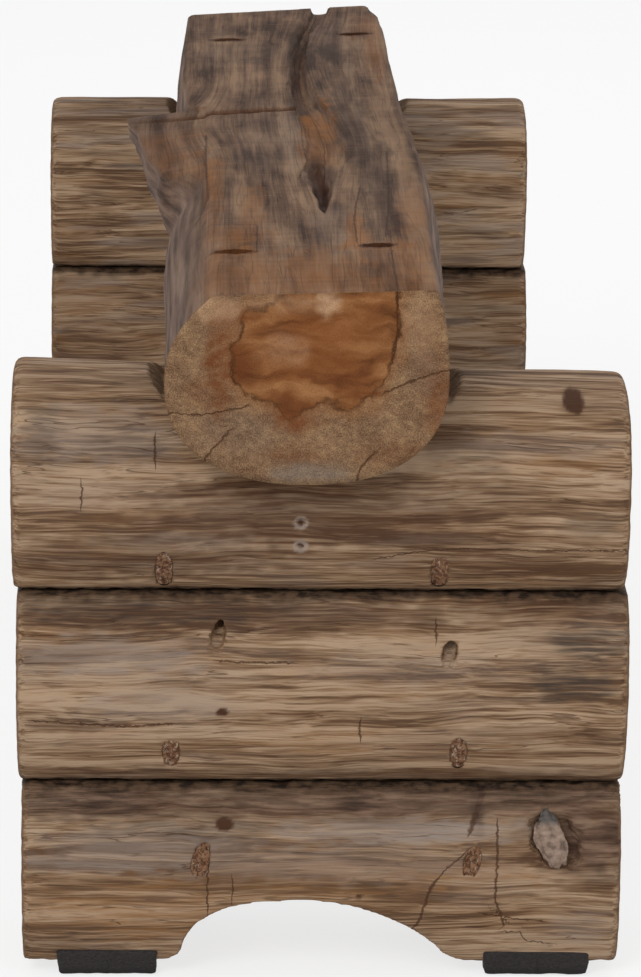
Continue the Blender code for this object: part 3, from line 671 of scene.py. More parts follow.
# Marks on the near stack's face, where the eye finds them. For each kind: across
# and height of the middle, half length and half height in millimetres, strength
MARKS = {
    "grey": (
        (-172, 373, 12, 16, 0.55), (-160, 352, 26, 5, 0.45), (-120, 362, 22, 8, 0.4),
        (172, 312, 20, 9, 0.55), (98, 352, 24, 8, 0.55), (176, 232, 26, 9, 1.0),
        (165, 205, 28, 11, 0.95), (-110, 250, 90, 8, 0.7), (-150, 120, 40, 9, 0.75),
        (-90, 104, 60, 5, 0.6), (-55, 105, 22, 6, 0.8), (106, 116, 4, 12, 0.9),
        (-160, 24, 30, 8, 0.35),
    ),
    "pale": (
        (-140, 366, 50, 16, 0.55), (-130, 330, 60, 10, 0.35), (-85, 300, 45, 6, 0.45),
        (130, 362, 60, 7, 0.45), (-130, 222, 60, 12, 0.7), (-100, 190, 50, 12, 0.55),
        (60, 215, 70, 10, 0.35), (-110, 96, 70, 9, 0.6), (60, 103, 80, 8, 1.0),
        (0, 82, 110, 12, 0.55), (-125, 84, 60, 9, 0.7), (176, 36, 20, 14, 0.45),
    ),
    # The umber marks on the top log from about 277 to 330 mm high are painted shade: the beam's
    # shadow under the seat and the shade on the log's lower half. The others are dark wood, bands
    # and cracks.
    "umber": (
        (-20, 318, 80, 26, 0.95), (-130, 292, 70, 11, 0.85), (60, 330, 70, 16, 0.55),
        (-110, 301, 70, 5, 0.45), (-160, 279, 40, 6, 0.6), (75, 366, 35, 7, 0.5),
        (-95, 284, 95, 11, 0.95), (-60, 306, 60, 8, 0.6), (25, 322, 72, 18, 0.95),
        (110, 283, 70, 9, 0.7), (0, 286, 120, 7, 0.6), (180, 277, 25, 9, 0.6),
        (60, 301, 90, 7, 0.5), (180, 381, 22, 4, 0.45), (-30, 247, 160, 9, 0.85),
        (150, 252, 60, 6, 0.8), (-152, 177, 30, 5, 0.8), (140, 172, 45, 6, 0.5),
        (60, 139, 150, 5, 0.75), (-100, 139, 90, 4, 0.65), (-90, 117, 100, 9, 0.8),
        (60, 117, 90, 5, 0.7), (176, 100, 40, 26, 1.0), (188, 76, 26, 12, 0.8),
        (106, 116, 5, 13, 0.8),
    ),
    "amber": (
        (-110, 325, 45, 12, 0.5), (130, 352, 60, 8, 0.35), (0, 165, 120, 9, 0.35),
        (-120, 60, 70, 18, 0.45), (0, 68, 80, 12, 0.45), (30, 76, 110, 11, 0.8),
        (-110, 52, 80, 22, 0.55),
    ),
}
# How strong each kind of mark is where it drifts over a log, and how far the noise has
# to rise for it
MARK_DRIFT = {"grey": (0.50, 0.28), "umber": (0.55, 0.16), "pale": (0.55, 0.12),
              "amber": (0.50, 0.10)}


def painted(places, axes, marks, kinds, grains, facing):
    """The most that the marks of each kind lay on each point, with ragged edges."""
    spots = places[:, axes] / MM
    waves = [grain(places, grains, seed, 2) for seed in (1.3, 8.9)]
    channels = []
    for kind in kinds:
        most = np.zeros(len(places))
        for across, height, half_length, half_height, strength in marks[kind]:
            reach = ((spots[:, 0] - across) / half_length + 0.45 * waves[0]) ** 2
            reach += ((spots[:, 1] - height) / half_height + 0.55 * waves[1]) ** 2
            most = np.maximum(most, strength * facing * soft_step(-reach, -1.9, -0.1))
        channels.append(most)
    return channels


def outline_offset(places, outline):
    """How far each point lies inside a closed outline on the end face, in millimetres."""
    spots = places[:, (0, 2)] / MM
    away = np.full(len(places), 1e9)
    inside = np.zeros(len(places), bool)
    for start, end in zip(outline, outline[1:] + outline[:1]):
        run = np.array(end, float) - start
        way = spots - np.array(start, float)
        along = np.clip(way @ run / (run @ run), 0, 1)
        away = np.minimum(away, np.linalg.norm(way - along[:, None] * run, axis=1))
        crosses = (spots[:, 1] > start[1]) != (spots[:, 1] > end[1])
        rise = run[1] if run[1] else 1.0
        inside ^= crosses & (way[:, 0] < way[:, 1] * run[0] / rise)
    return np.where(inside, away, -away)


# Marks on the seat's top, as across and along in millimetres from the bench's middle
SEAT_MARKS = {
    "amber": (
        (10, 22, 13, 75, 1.0), (9, -80, 15, 60, 0.6), (-101, -25, 25, 78, 1.0),
        (-97, -75, 20, 60, 1.0), (-66, -210, 7, 110, 0.75), (-40, -300, 8, 80, 0.5),
        (-53, -431, 20, 14, 1.0), (-52, -385, 22, 30, 0.6), (28, -395, 8, 60, 0.9),
        (48, -425, 30, 14, 0.8), (56, -480, 18, 80, 0.6), (-30, -500, 70, 60, 0.65),
        (0, -535, 90, 30, 0.6), (62, 330, 8, 130, 0.5), (60, 430, 14, 60, 0.45),
        (70, -330, 12, 90, 0.4),
    ),
    "dark": (
        (34, 130, 10, 90, 0.9), (38, 10, 13, 100, 1.0), (45, -110, 13, 90, 1.0),
        (47, -230, 12, 100, 1.0), (43, -345, 10, 60, 0.75), (33, 260, 12, 90, 0.6),
        (9, -185, 12, 70, 1.0), (-98, 2, 6, 16, 0.9), (-104, -28, 6, 14, 0.8),
        (-30, 120, 18, 60, 0.45), (-65, 430, 12, 26, 0.85), (46, -500, 7, 60, 0.6),
        (-4, 180, 4, 130, 0.6),
    ),
    "light": (
        (-46, -255, 6, 50, 0.9), (-60, -140, 8, 60, 0.6), (68, -120, 7, 120, 0.9),
        (70, -300, 7, 120, 0.8), (58, 40, 9, 120, 0.7), (60, -470, 12, 50, 0.8),
        (50, 330, 7, 70, 0.6), (-45, 350, 20, 60, 0.45), (-62, -400, 12, 26, 0.6),
        (30, -320, 5, 40, 0.5),
    ),
    "lilac": (
        (-10, -30, 8, 110, 0.9), (-30, -60, 20, 100, 0.45), (-85, -220, 13, 75, 1.0),
        (-112, -190, 7, 110, 1.0), (-48, 330, 30, 60, 0.6), (40, 380, 30, 90, 0.45),
        (12, -350, 14, 60, 0.9), (-82, -430, 12, 90, 0.6),
    ),
}
# Marks on the near end, as across and height in millimetres
END_MARKS = {
    "warm": (
        (-61, 425, 9, 38, 0.85), (-58, 445, 12, 14, 0.45), (-16, 386, 16, 8, 0.75),
        (68, 425, 8, 34, 0.35), (76, 395, 8, 26, 0.6), (-14, 364, 22, 5, 0.45),
        (50, 366, 24, 9, 0.35), (-72, 404, 10, 10, 0.35), (-43, 454, 8, 6, 0.85),
        (-49, 425, 6, 14, 0.7), (26, 405, 16, 3, 0.8), (8, 428, 14, 6, 0.45),
        (-22, 400, 18, 6, 0.55), (12, 414, 30, 4, 0.4),
    ),
    # The first pale mark, near the top of the end, is a painted highlight; the others are pale
    # wood.
    "pale": (
        (4, 461, 9, 7, 1.0), (-66, 458, 16, 9, 0.7), (-20, 432, 14, 10, 0.35),
        (62, 445, 9, 18, 0.35), (-22, 462, 24, 5, 0.4),
    ),
    "blue": (
        (-2, 353, 30, 6, 0.75), (-50, 380, 30, 14, 0.18), (66, 418, 8, 14, 0.25),
    ),
}
# The stained heart on the near end, as across and height in millimetres
HEART_OUTLINE = (
    (-20, 475), (-29, 462), (-44, 458), (-47, 447), (-54, 432), (-55, 418), (-49, 406),
    (-40, 400), (-30, 397), (-22, 392), (-15, 389), (-8, 396), (4, 398), (20, 395), (33, 400),
    (41, 410), (46, 427), (49, 445), (48, 475),
)
HEART_REACH = 30.0
FIGURE_REACH = 200.0


def log_marks(log, places, normals):
    """Shares of grey, umber, pale and amber on each point of a log."""
    channels = {}
    stretch = (90, 16, 16)
    seed = 5.0 + 11.0 * sorted(LOG_SHARES).index(log.name)
    for number, (kind, (amount, start)) in enumerate(MARK_DRIFT.items()):
        drift = grain(places, stretch, seed + 31.7 * number, 2)
        channels[kind] = amount * soft_step(drift, start, start + 0.35)
    if log.name == "far_middle_log":
        # It stands in the shade of the beam and the top log; umber over the whole log is painted
        # shade.
        channels["umber"] = np.maximum(channels["umber"], 0.35)
    if log.stack == "near":
        facing = soft_step(-normals[:, 1], -0.15, 0.15)
        by_hand = painted(places, (0, 2), MARKS, MARK_DRIFT, (14, 9, 5), facing)
        for kind, amount in zip(MARK_DRIFT, by_hand):
            channels[kind] = np.maximum(channels[kind] * (1 - 0.65 * facing), amount)
    if log.name == "near_top_log":
        # Fresh wood shows round the two small countersunk holes.
        for height in TRIM_HOLES:
            reach = np.hypot(places[:, 0] / MM + 10, places[:, 2] / MM - height)
            ring = facing * soft_step(-reach, -5.5, -4.0)
            channels["umber"] *= 1 - ring
            channels["pale"] = np.maximum(channels["pale"], ring)
    return [channels[kind] for kind in MARK_DRIFT]


# Dark knots and holes on the near stack's face: across, height and half height
# The last two are the small countersunk holes; their dark is painted shade.
KNOTS = ((163, 384, 5), (-57, 107, 4), (-59, 186, 3), (30, 60, 2), (-10, 312, 1.5),
         (-10, 296, 1.5))
KNOT_STRETCH = 1.4


def log_wear(log, places, normals):
    """Shares of seam grime with painted seam shade, end grain, knot and rough bark on each point
    of a log.
    """
    base, top = log.place.z, log.place.z + log.height
    below = (places[:, 2] - base) / MM
    above = (top - places[:, 2]) / MM
    patch = 0.5 + 0.5 * grain(places, (42, 60, 60), 3.7, 2)
    fray = grain(places, (9, 20, 20), 9.1, 2)
    # Grime and painted shade darken the seams: a band under each upper log, and a wider one over
    # each lower log where the log above overhangs it.
    dirt_and_shade = np.zeros(len(places))
    if log.layer != "bottom_log":
        reach = 2.2 + 2.5 * patch + 1.5 * fray
        dirt_and_shade = np.maximum(dirt_and_shade, soft_step(-below, -reach - 1.5, -reach * 0.3))
    if log.layer != "top_log":
        reach = 2.5 + 4.5 * patch + 3.0 * fray
        dirt_and_shade = np.maximum(dirt_and_shade, soft_step(-above, -reach - 2.5, -reach * 0.3))
    end = soft_step(np.abs(normals[:, 0]), 0.55, 0.85)
    rough = np.zeros(len(places))
    if log.name == "near_bottom_log":
        rough = soft_step(-above, -22 - 8 * patch, -12) * (0.4 + 0.6 * patch)
        reach = ((places[:, 0] / MM - 180) / 32) ** 2 + ((places[:, 2] / MM - 98) / 24) ** 2
        front = places[:, 1] < log.place.y
        rough = np.maximum(rough, 0.75 * front * soft_step(-reach - 0.7 * fray, -1.2, -0.2))
    knot = np.zeros(len(places))
    for x, z, size in KNOTS:
        reach = ((places[:, 0] / MM - x) / size / KNOT_STRETCH) ** 2
        reach += ((places[:, 2] / MM - z) / size) ** 2
        near = (places[:, 1] < log.place.y) & (log.stack == "near")
        knot = np.maximum(knot, near * soft_step(-reach - 0.6 * fray, -1.3, -0.6))
    return [dirt_and_shade, end, knot, rough]


# The torn recess: its middle, half width and half height in millimetres, the sine and
# cosine of its lean, and its depth
TORN_KNOT = (157, 98, 16, 21)
TORN_LEAN = (0.57, 0.82)
TORN_DEPTH = 7.5 * MM


def knot_hole(places, log):
    """Depth of the torn recess round the filled knot on the near bottom log."""
    middle, height, half_width, half_height = TORN_KNOT
    aside, upright = TORN_LEAN
    x = places[:, 0] / MM - middle
    z = places[:, 2] / MM - height
    reach = ((x * upright + z * aside) / half_width) ** 2
    reach += ((z * upright - x * aside) / half_height) ** 2
    reach = reach + 0.3 * grain(places, (8, 8, 8), 2.2)
    front = soft_step(log.place.y - places[:, 1], 20 * MM, 40 * MM)
    return front * (TORN_DEPTH * soft_step(-reach, -1.15, -0.55))


def relief(log, places, normals):
    """Moves a log's points for its swellings, furrows, worn rims and seams."""
    seed = 2.0 + 7.0 * sorted(LOG_SHARES).index(log.name)
    push = 1.1 * grain(places, (120, 46, 46), seed)
    push += 0.55 * grain(places, (70, 13, 13), seed + 4, 2)
    push += 0.30 * grain(places, (34, 4.5, 4.5), seed + 8, 2)
    end = soft_step(np.abs(normals[:, 0]), 0.5, 0.9)
    push = push * (1 - 0.75 * end) + end * 0.25 * grain(places, (3, 30, 5), seed + 2)
    reach = log.length / 2 - np.abs(places[:, 0] - log.place.x)
    chips = soft_step(-reach, -7 * MM, -1 * MM) * (1 - end)
    push -= chips * (0.6 + 1.8 * np.clip(grain(places, (20, 11, 11), seed + 6, 2), 0, 1))
    below = (places[:, 2] - log.place.z) / MM
    above = (log.place.z + log.height - places[:, 2]) / MM
    flats = soft_step(-below, -3.0, -0.8)
    if log.layer != "top_log":
        flats = np.maximum(flats, soft_step(-above, -3.0, -0.8))
    push = np.where(flats > 0, np.minimum(push, 0.0) * (1 - 0.6 * flats), push)
    push -= flats * 1.1 * np.clip(0.4 + grain(places, (13, 8, 8), seed + 3, 2), 0, 1)
    if log.name == "near_bottom_log":
        rough = soft_step(-above, -24, -10)
        push -= rough * 1.3 * np.clip(grain(places, (16, 5, 5), seed + 5, 3), -0.2, 1)
        push -= knot_hole(places, log) / MM
    return places + normals * (push * MM)[:, None]


# Finishes

def add(tree, kind, inputs=None, out=0, stops=(), **settings):
    """Adds one node with its settings and links, and gives back one of its outputs."""
    def plain(value):
        return linear(value) if isinstance(value, str) else value

    node = tree.nodes.new("ShaderNode" + kind)
    for name, value in settings.items():
        setattr(node, name, value)
    if stops:
        row = node.color_ramp.elements
        for stop, place in ((row[0], stops[0]), (row[1], stops[-1])):
            stop.position, stop.color = place[0], plain(place[1])
        for position, tone in stops[1:-1]:
            row.new(position).color = plain(tone)
    for key, value in (inputs or {}).items():
        if isinstance(value, bpy.types.NodeSocket):
            tree.links.new(value, node.inputs[key])
        else:
            node.inputs[key].default_value = plain(value)
    return node.outputs[out]


def maths(tree, operation, *values, **settings):
    return add(tree, "Math", dict(enumerate(values)), operation=operation, **settings)


def times(tree, *values, **settings):
    return maths(tree, "MULTIPLY", *values, **settings)


def summed(tree, *parts, start=0.0):
    """The sum of values, each times its own weight."""
    for value, weight in parts:
        start = maths(tree, "MULTIPLY_ADD", value, weight, start)
    return start


def mixed(tree, share, under, over, **settings):
    return add(tree, "Mix", {0: share, 6: under, 7: over}, 2, data_type="RGBA", **settings)


def ramp(tree, value, *stops):
    return add(tree, "ValToRGB", {0: value}, stops=stops)


def spread(tree, value, low, high):
    """A share from 0 to 1, spread over the stretch from low to high."""
    return add(tree, "MapRange", {"Value": value, "To Min": low, "To Max": high})


def risen(tree, value, low, high, most=1.0):
    """How far a value has risen from low to high, times the most it can reach."""
    return add(tree, "MapRange", {"Value": value, "From Min": low, "From Max": high,
                                  "To Max": most})


def hairline(tree, value, middle, low, high):
    """A thin line where a value crosses its middle."""
    away = maths(tree, "ABSOLUTE", maths(tree, "SUBTRACT", value, middle))
    return risen(tree, away, low, high)


def shares(tree, name):
    """The four shares of a piece's own attribute."""
    marks = add(tree, "Attribute", attribute_name=name)
    return [*add(tree, "SeparateColor", {0: marks}).node.outputs, marks.node.outputs[3]]


def raise_surface(tree, shader, height, reach, strength):
    """Bumps on the surface, of this reach in millimetres."""
    bump = add(tree, "Bump", {"Height": height, "Distance": reach * MM, "Strength": strength})
    tree.links.new(bump, shader.inputs["Normal"])


def new_finish(name, **sockets):
    """A material with one Principled shader, whose plain values are set here."""
    material = bpy.data.materials.new(name)
    material.use_nodes = True
    shader = material.node_tree.nodes["Principled BSDF"]
    for key, value in sockets.items():
        shader.inputs[key.replace("_", " ")].default_value = value
    return material, material.node_tree, shader


def millimetres(tree):
    """Object coordinates in millimetres."""
    place = add(tree, "TexCoord", out=3)
    return add(tree, "VectorMath", {0: place, "Scale": 1 / MM}, operation="SCALE")


def bent(tree, place, size, reach):
    """The place moved about by slow noise, so that straight grain wavers."""
    spread = tuple(1 / s for s in size)
    scaled = add(tree, "VectorMath", {0: place, 1: spread}, operation="MULTIPLY")
    drift = add(tree, "TexNoise", {"Vector": scaled, "Scale": 1.0, "Detail": 2.0}, out=1)
    drift = add(tree, "VectorMath", {0: drift, 1: (0.5, 0.5, 0.5)}, operation="SUBTRACT")
    drift = add(tree, "VectorMath", {0: drift, 1: reach}, operation="MULTIPLY")
    return add(tree, "VectorMath", {0: place, 1: drift}, operation="ADD")


def streaks(tree, place, size, detail=3.0, seed=0.0, low=0.3, high=0.7):
    """Noise from 0 to 1, drawn out to streaks of this size in millimetres."""
    scaled = add(tree, "Mapping", {"Vector": place, "Location": (seed, seed, seed),
                                   "Scale": tuple(1 / s for s in size)})
    value = add(tree, "TexNoise", {"Vector": scaled, "Scale": 1.0, "Detail": detail})
    return risen(tree, value, low, high)


def cracked(tree, place, half=1.0):
    """How much a place lies on one of the piece's cracks, from its own attribute."""
    offset, near, width, _ = shares(tree, "cracks")
    offset = spread(tree, offset, -CRACK_REACH, CRACK_REACH)
    jag = add(tree, "TexNoise", {"Vector": place, "Scale": 0.35, "Detail": 3.0})
    jag = spread(tree, jag, -1.8, 1.8)
    offset = maths(tree, "ADD", offset, jag)
    offset = maths(tree, "ABSOLUTE", offset)
    width = times(tree, width, CRACK_WIDEST * half)
    share = maths(tree, "DIVIDE", offset, width)
    share = risen(tree, share, 1.4, 0.5)
    return times(tree, share, near)


CRACK_REACH = 10.0
CRACK_WIDEST = 4.0


def crack_marks(places, lines, facing, axes=(0, 2)):
    """Offset from the nearest crack, nearness to it and its width, for each point.

    The offset has a sign, so it runs evenly through the crack between two points.
    """
    best = np.full(len(places), 1e9)
    offset = np.zeros(len(places))
    width = np.full(len(places), 0.1)
    spots = places[:, axes] / MM
    for points, half in lines:
        for start, end in zip(points, points[1:]):
            run = np.array(end, float) - start
            whole = np.linalg.norm(run)
            way = spots - np.array(start, float)
            along = np.clip(way @ run / whole, 0, whole)
            away = np.linalg.norm(way - along[:, None] * run / whole, axis=1)
            side = (way[:, 0] * run[1] - way[:, 1] * run[0]) / whole
            closer = away < best
            best = np.where(closer, away, best)
            beyond = away - np.abs(side)
            offset = np.where(closer, side + np.sign(side) * 0.4 * beyond, offset)
            width = np.where(closer, half, width)
    share = 0.5 + np.clip(offset / CRACK_REACH, -1, 1) / 2
    near = soft_step(-best, -6.5, -3.5) * facing
    return [share, near, width / CRACK_WIDEST, np.zeros(len(places))]


# Cracks on the near stack's face, as across and height in millimetres
LOG_CRACKS = (
    (((-102, 364), (-102, 352)), 0.7),
    (((-148, 336), (-148, 325)), 0.5),
    (((40, 288), (67, 293), (92, 295), (143, 294), (200, 294)), 0.35),
    (((77, 241), (77, 235)), 0.6),
    (((29, 178), (29, 170)), 0.6),
    (((-60, 220), (-38, 219), (-16, 219)), 0.5),
    (((-178, 180), (-124, 176), (-90, 178)), 0.6),
    (((-68, 82), (-68, 50)), 0.5),
    (((-52, 70), (-52, 58)), 0.3),
    (((119, 106), (119, 82), (118, 58), (122, 48), (124, 41)), 0.75),
    (((112, 48), (130, 45), (148, 43)), 0.5),
    (((110, 126), (107, 118), (102, 105)), 1.7),
    (((97, 89), (87, 80), (80, 72)), 0.5),
    (((80, 72), (75, 63), (70, 45), (67, 40)), 0.95),
    (((125, 35), (135, 35), (139, 28), (155, 26)), 0.4),
)


def log_finish():
    """Debarked teak, dried outdoors and wire brushed: dull, with streaks along the log."""
    c = colours()
    material, tree, shader = new_finish("dry_debarked_teak", Specular_IOR_Level=0.16)
    place = millimetres(tree)
    wavy = bent(tree, place, (95, 30, 30), (0, 11, 11))
    broad = streaks(tree, wavy, (230, 15, 15), seed=3.0)
    middle = streaks(tree, wavy, (120, 4.2, 4.2), 4.0, 11.0, 0.33, 0.67)
    fine = streaks(tree, wavy, (45, 1.2, 1.2), 3.0, 23.0, 0.33, 0.67)
    tone = summed(tree, (broad, 0.36), (middle, 0.34), (fine, 0.30))
    wood = ramp(tree, tone, (0.30, c.log_dark), (0.48, c.log_mid), (0.67, c.log_light))
    grey, umber, pale, amber = shares(tree, "marks")
    dirt_and_shade, end, knot, rough = shares(tree, "wear")
    # Weathered fibres turn grey in streaks, and fresh ones stay amber.
    veil = streaks(tree, wavy, (60, 3.0, 3.0), 3.0, 31.0, 0.35, 0.65)
    wood = mixed(tree, times(tree, amber, veil), wood, c.log_amber)
    lift = spread(tree, veil, 0.45, 1.0)
    wood = mixed(tree, times(tree, pale, lift), wood, c.log_grey)
    # Brown and grey stains follow the fibres at their edges. The umber share is partly painted
    # shade: under the beam on the near top log, and over the whole far middle log.
    for amount, shade, low in ((umber, c.umber, 0.55), (grey, c.stain, 0.25)):
        edge = streaks(tree, wavy, (40, 2.4, 2.4), 3.0, 41.0, 0.32, 0.68)
        edge = spread(tree, edge, low, 1.15)
        share = times(tree, amount, edge, use_clamp=True)
        share = times(tree, share, 0.78)
        wood = mixed(tree, share, wood, shade)
    # Short dark dashes are the open vessels, in patches.
    dash = streaks(tree, wavy, (22, 1.2, 1.2), 4.0, 53.0, 0.60, 0.72)
    patch = streaks(tree, place, (70, 16, 16), 2.0, 59.0, 0.42, 0.60)
    dash = times(tree, dash, patch)
    # Long hairline checks follow the lines where slow noise crosses its middle.
    check = add(tree, "Mapping", {"Vector": wavy, "Scale": (1 / 130, 1 / 8, 1 / 8)})
    check = add(tree, "TexNoise", {"Vector": check, "Scale": 1.0, "Detail": 3.0})
    check = hairline(tree, check, 0.5, 0.011, 0.002)
    patch = streaks(tree, place, (90, 12, 12), 2.0, 67.0, 0.50, 0.62)
    check = times(tree, check, patch)
    crack = cracked(tree, place)
    lines = times(tree, dash, 0.75)
    lines = maths(tree, "MAXIMUM", lines, check)
    lines = times(tree, lines, 0.8)
    lines = maths(tree, "MAXIMUM", lines, crack)
    wood = mixed(tree, times(tree, lines, 0.82), wood, c.umber)
    # Knots are dark, and the two small countersunk holes get painted shade.
    wood = mixed(tree, knot, wood, c.umber)
    # Rough purplish bark remains under the seam of the bottom log.
    bark = streaks(tree, wavy, (30, 4, 4), 5.0, 71.0, 0.32, 0.68)
    bark = ramp(tree, bark, (0.1, "#36271f"), (0.5, "#5c463a"), (0.9, "#836a58"))
    wood = mixed(tree, rough, wood, bark)
    # End grain: rings about the pith, with fine checks from it.
    rings = end_grain(tree, place, 3.4)
    wood = mixed(tree, end, wood, rings)
    # Grime and painted shade darken the seams between the logs.
    grime_and_shade = streaks(tree, place, (7, 5, 3), 4.0, 83.0, 0.3, 0.6)
    grime_and_shade = ramp(tree, grime_and_shade, (0.2, c.dirt_and_shade), (1.0, "#5a4534"))
    wood = mixed(tree, dirt_and_shade, wood, grime_and_shade)
    tree.links.new(wood, shader.inputs["Base Color"])
    # Raised fibres, 0.2 mm, and cracks, 1 mm.
    height = summed(tree, (fine, 0.26), (middle, 0.30), (lines, -0.7))
    fuzz = streaks(tree, place, (4, 0.7, 0.7), 2.0, 91.0)
    height = summed(tree, (fuzz, 0.10), start=height)
    raise_surface(tree, shader, height, 1, 0.8)
    shine = spread(tree, tone, 0.86, 0.66)
    tree.links.new(shine, shader.inputs["Roughness"])
    return material


def end_grain(tree, place, spacing):
    """Growth rings of this spacing across a log's cut end."""
    c = colours()
    # The stacks' pith lines lie at three heights, so the rings start from the nearest.
    flat = add(tree, "SeparateXYZ", {0: bent(tree, place, (40, 25, 25), (0, 14, 14))})
    y, z = flat.node.outputs[1:3]
    s = sizes()
    near = maths(tree, "LESS_THAN", y, 0.0)
    stack = spread(tree, near, s.far_stack / MM, s.near_stack / MM)
    y = maths(tree, "SUBTRACT", y, stack)
    z = maths(tree, "SUBTRACT", z, 9.0)
    z = maths(tree, "MODULO", z, 129.0)
    z = maths(tree, "SUBTRACT", z, 62.0)
    spot = add(tree, "CombineXYZ", {1: y, 2: z})
    reach = add(tree, "VectorMath", {0: spot}, out=1, operation="LENGTH")
    ring = times(tree, reach, 2 * pi / spacing)
    ring = maths(tree, "SINE", ring)
    turn = maths(tree, "ARCTAN2", y, z)
    spoke = add(tree, "CombineXYZ", {0: turn, 1: reach})
    spoke = add(tree, "Mapping", {"Vector": spoke, "Scale": (16.0, 0.02, 1.0)})
    spoke = add(tree, "TexNoise", {"Vector": spoke, "Scale": 1.0, "Detail": 3.0})
    spoke = risen(tree, spoke, 0.62, 0.70)
    value = summed(tree, (ring, 0.22), start=0.55)
    wood = ramp(tree, value, (0.3, "#6b523d"), (0.8, c.end_sap))
    heart = risen(tree, reach, 46.0, 30.0)
    heart = times(tree, heart, 0.55)
    wood = mixed(tree, heart, wood, c.log_amber)
    return mixed(tree, spoke, wood, c.umber)


# Cracks on the seat's near end, as across and height in millimetres
END_CRACKS = (
    (((-95, 391), (-72, 390), (-47, 395)), 0.4),
    (((-70, 362), (-65, 369), (-57, 378)), 0.6),
    (((22, 343), (26, 356), (35, 366)), 0.7),
    (((43, 406), (64, 415), (82, 420)), 0.5),
    (((47, 475), (48, 440), (45, 424)), 0.4),
)


# Cracks and edges on the seat's top, as across and along in millimetres
TOP_CRACKS = (
    (((14, 511), (8, 458), (1, 395), (-4, 332), (-5, 261), (-7, 201), (-10, 175)), 0.9),
    (((5, 236), (8, 164), (12, 109), (17, 81)), 0.8),
    (((-8, 112), (-5, 67), (-2, -5), (-2, -73), (0, -134), (-7, -196)), 0.35),
    (((35, -227), (30, -288), (27, -347), (27, -410)), 0.55),
    (((57, -111), (55, -204), (52, -291), (46, -397)), 0.45),
    (((-72, -26), (-72, -114), (-71, -189), (-70, -251), (-75, -293), (-90, -334)), 0.7),
    (((-68, -344), (-37, -348), (-38, -431)), 0.3),
    (((50, -374), (48, -450), (48, -527), (48, -552)), 0.4),
)


def seat_finish():
    """Sawn and sanded teak, greyed outdoors: a wavering figure along the beam."""
    c = colours()
    material, tree, shader = new_finish("sawn_weathered_teak", Specular_IOR_Level=0.08)
    place = millimetres(tree)
    end, side, groove, flow = shares(tree, "parts")
    flow = spread(tree, flow, -FIGURE_REACH, FIGURE_REACH)
    y, z = add(tree, "SeparateXYZ", {0: place}).node.outputs[1:3]
    flat = add(tree, "CombineXYZ", {0: flow, 1: y, 2: z})
    wavy = bent(tree, flat, (40, 160, 30), (3, 0, 2))
    broad = streaks(tree, wavy, (15, 620, 40), 3.0, 5.0, 0.32, 0.68)
    middle = streaks(tree, wavy, (4.5, 200, 12), 4.0, 13.0, 0.30, 0.70)
    fine = streaks(tree, wavy, (1.1, 60, 4), 3.0, 29.0, 0.30, 0.70)
    patch = streaks(tree, place, (20, 85, 20), 5.0, 89.0, 0.30, 0.70)
    tone = summed(tree, (broad, 0.32), (patch, 0.38), (middle, 0.16), (fine, 0.14))
    wood = ramp(tree, tone, (0.28, c.seat_dark), (0.50, c.seat_mid), (0.72, c.seat_light))
    amber, dark, light, lilac = shares(tree, "marks")
    # Weathering follows the fibres, so each tint fades in streaks.
    veil = streaks(tree, wavy, (8, 60, 9), 5.0, 37.0, 0.32, 0.68)
    veil = spread(tree, veil, 0.45, 1.05)
    for amount, shade, most in ((lilac, c.seat_side, 0.50), (light, c.seat_light, 0.80),
                                (amber, c.seat_amber, 1.00), (dark, c.seat_dark, 0.80)):
        share = times(tree, amount, veil, use_clamp=True)
        share = times(tree, share, most)
        wood = mixed(tree, share, wood, shade)
    # Thin dark lines between the growth rings follow the figure.
    line = add(tree, "Mapping", {"Vector": wavy, "Scale": (1 / 15, 1 / 420, 1 / 15)})
    line = add(tree, "TexNoise", {"Vector": line, "Scale": 1.0, "Detail": 4.0})
    line = times(tree, line, 9.0)
    line = maths(tree, "FRACT", line)
    line = hairline(tree, line, 0.5, 0.09, 0.01)
    wood = mixed(tree, times(tree, line, 0.26), wood, c.seat_dark)
    # Faint saw marks cross the top, about 2 mm apart, and short pale scuffs.
    saw = streaks(tree, place, (110, 6, 40), 2.0, 43.0, 0.35, 0.65)
    scuff = streaks(tree, place, (14, 3.0, 12), 3.0, 71.0, 0.60, 0.74)
    wood = mixed(tree, times(tree, scuff, 0.30), wood, c.seat_light)
    shade = spread(tree, saw, 0.92, 1.06)
    wood = mixed(tree, 1.0, wood, shade, blend_type="MULTIPLY")
    # The live edge is smooth and grey.
    edge = streaks(tree, place, (14, 120, 6), 4.0, 47.0)
    edge = ramp(tree, edge, (0.1, "#46372d"), (0.55, "#6c5548"), (1.0, "#866e5f"))
    wood = mixed(tree, side, wood, edge)
    # Painted shade darkens the crack, the valley, the knot's hollow, the slots and the saw cut.
    dark = times(tree, groove, 0.85)
    wood = mixed(tree, dark, wood, "#35170c")
    face, lines = end_face(tree, place)
    wood = mixed(tree, times(tree, lines, 0.75), wood, c.seat_dark)
    wood = mixed(tree, end, wood, face)
    tree.links.new(wood, shader.inputs["Base Color"])
    height = summed(tree, (middle, 0.34), (fine, 0.24), (line, -0.40), (saw, 0.10))
    still = maths(tree, "SUBTRACT", 1.0, end)
    height = times(tree, height, still)
    height = summed(tree, (lines, -0.8), start=height)
    pores = streaks(tree, place, (0.9, 4, 0.9), 2.0, 61.0)
    height = summed(tree, (pores, 0.14), start=height)
    raise_surface(tree, shader, height, 1, 0.85)
    shine = spread(tree, tone, 0.82, 0.60)
    tree.links.new(shine, shader.inputs["Roughness"])
    return material


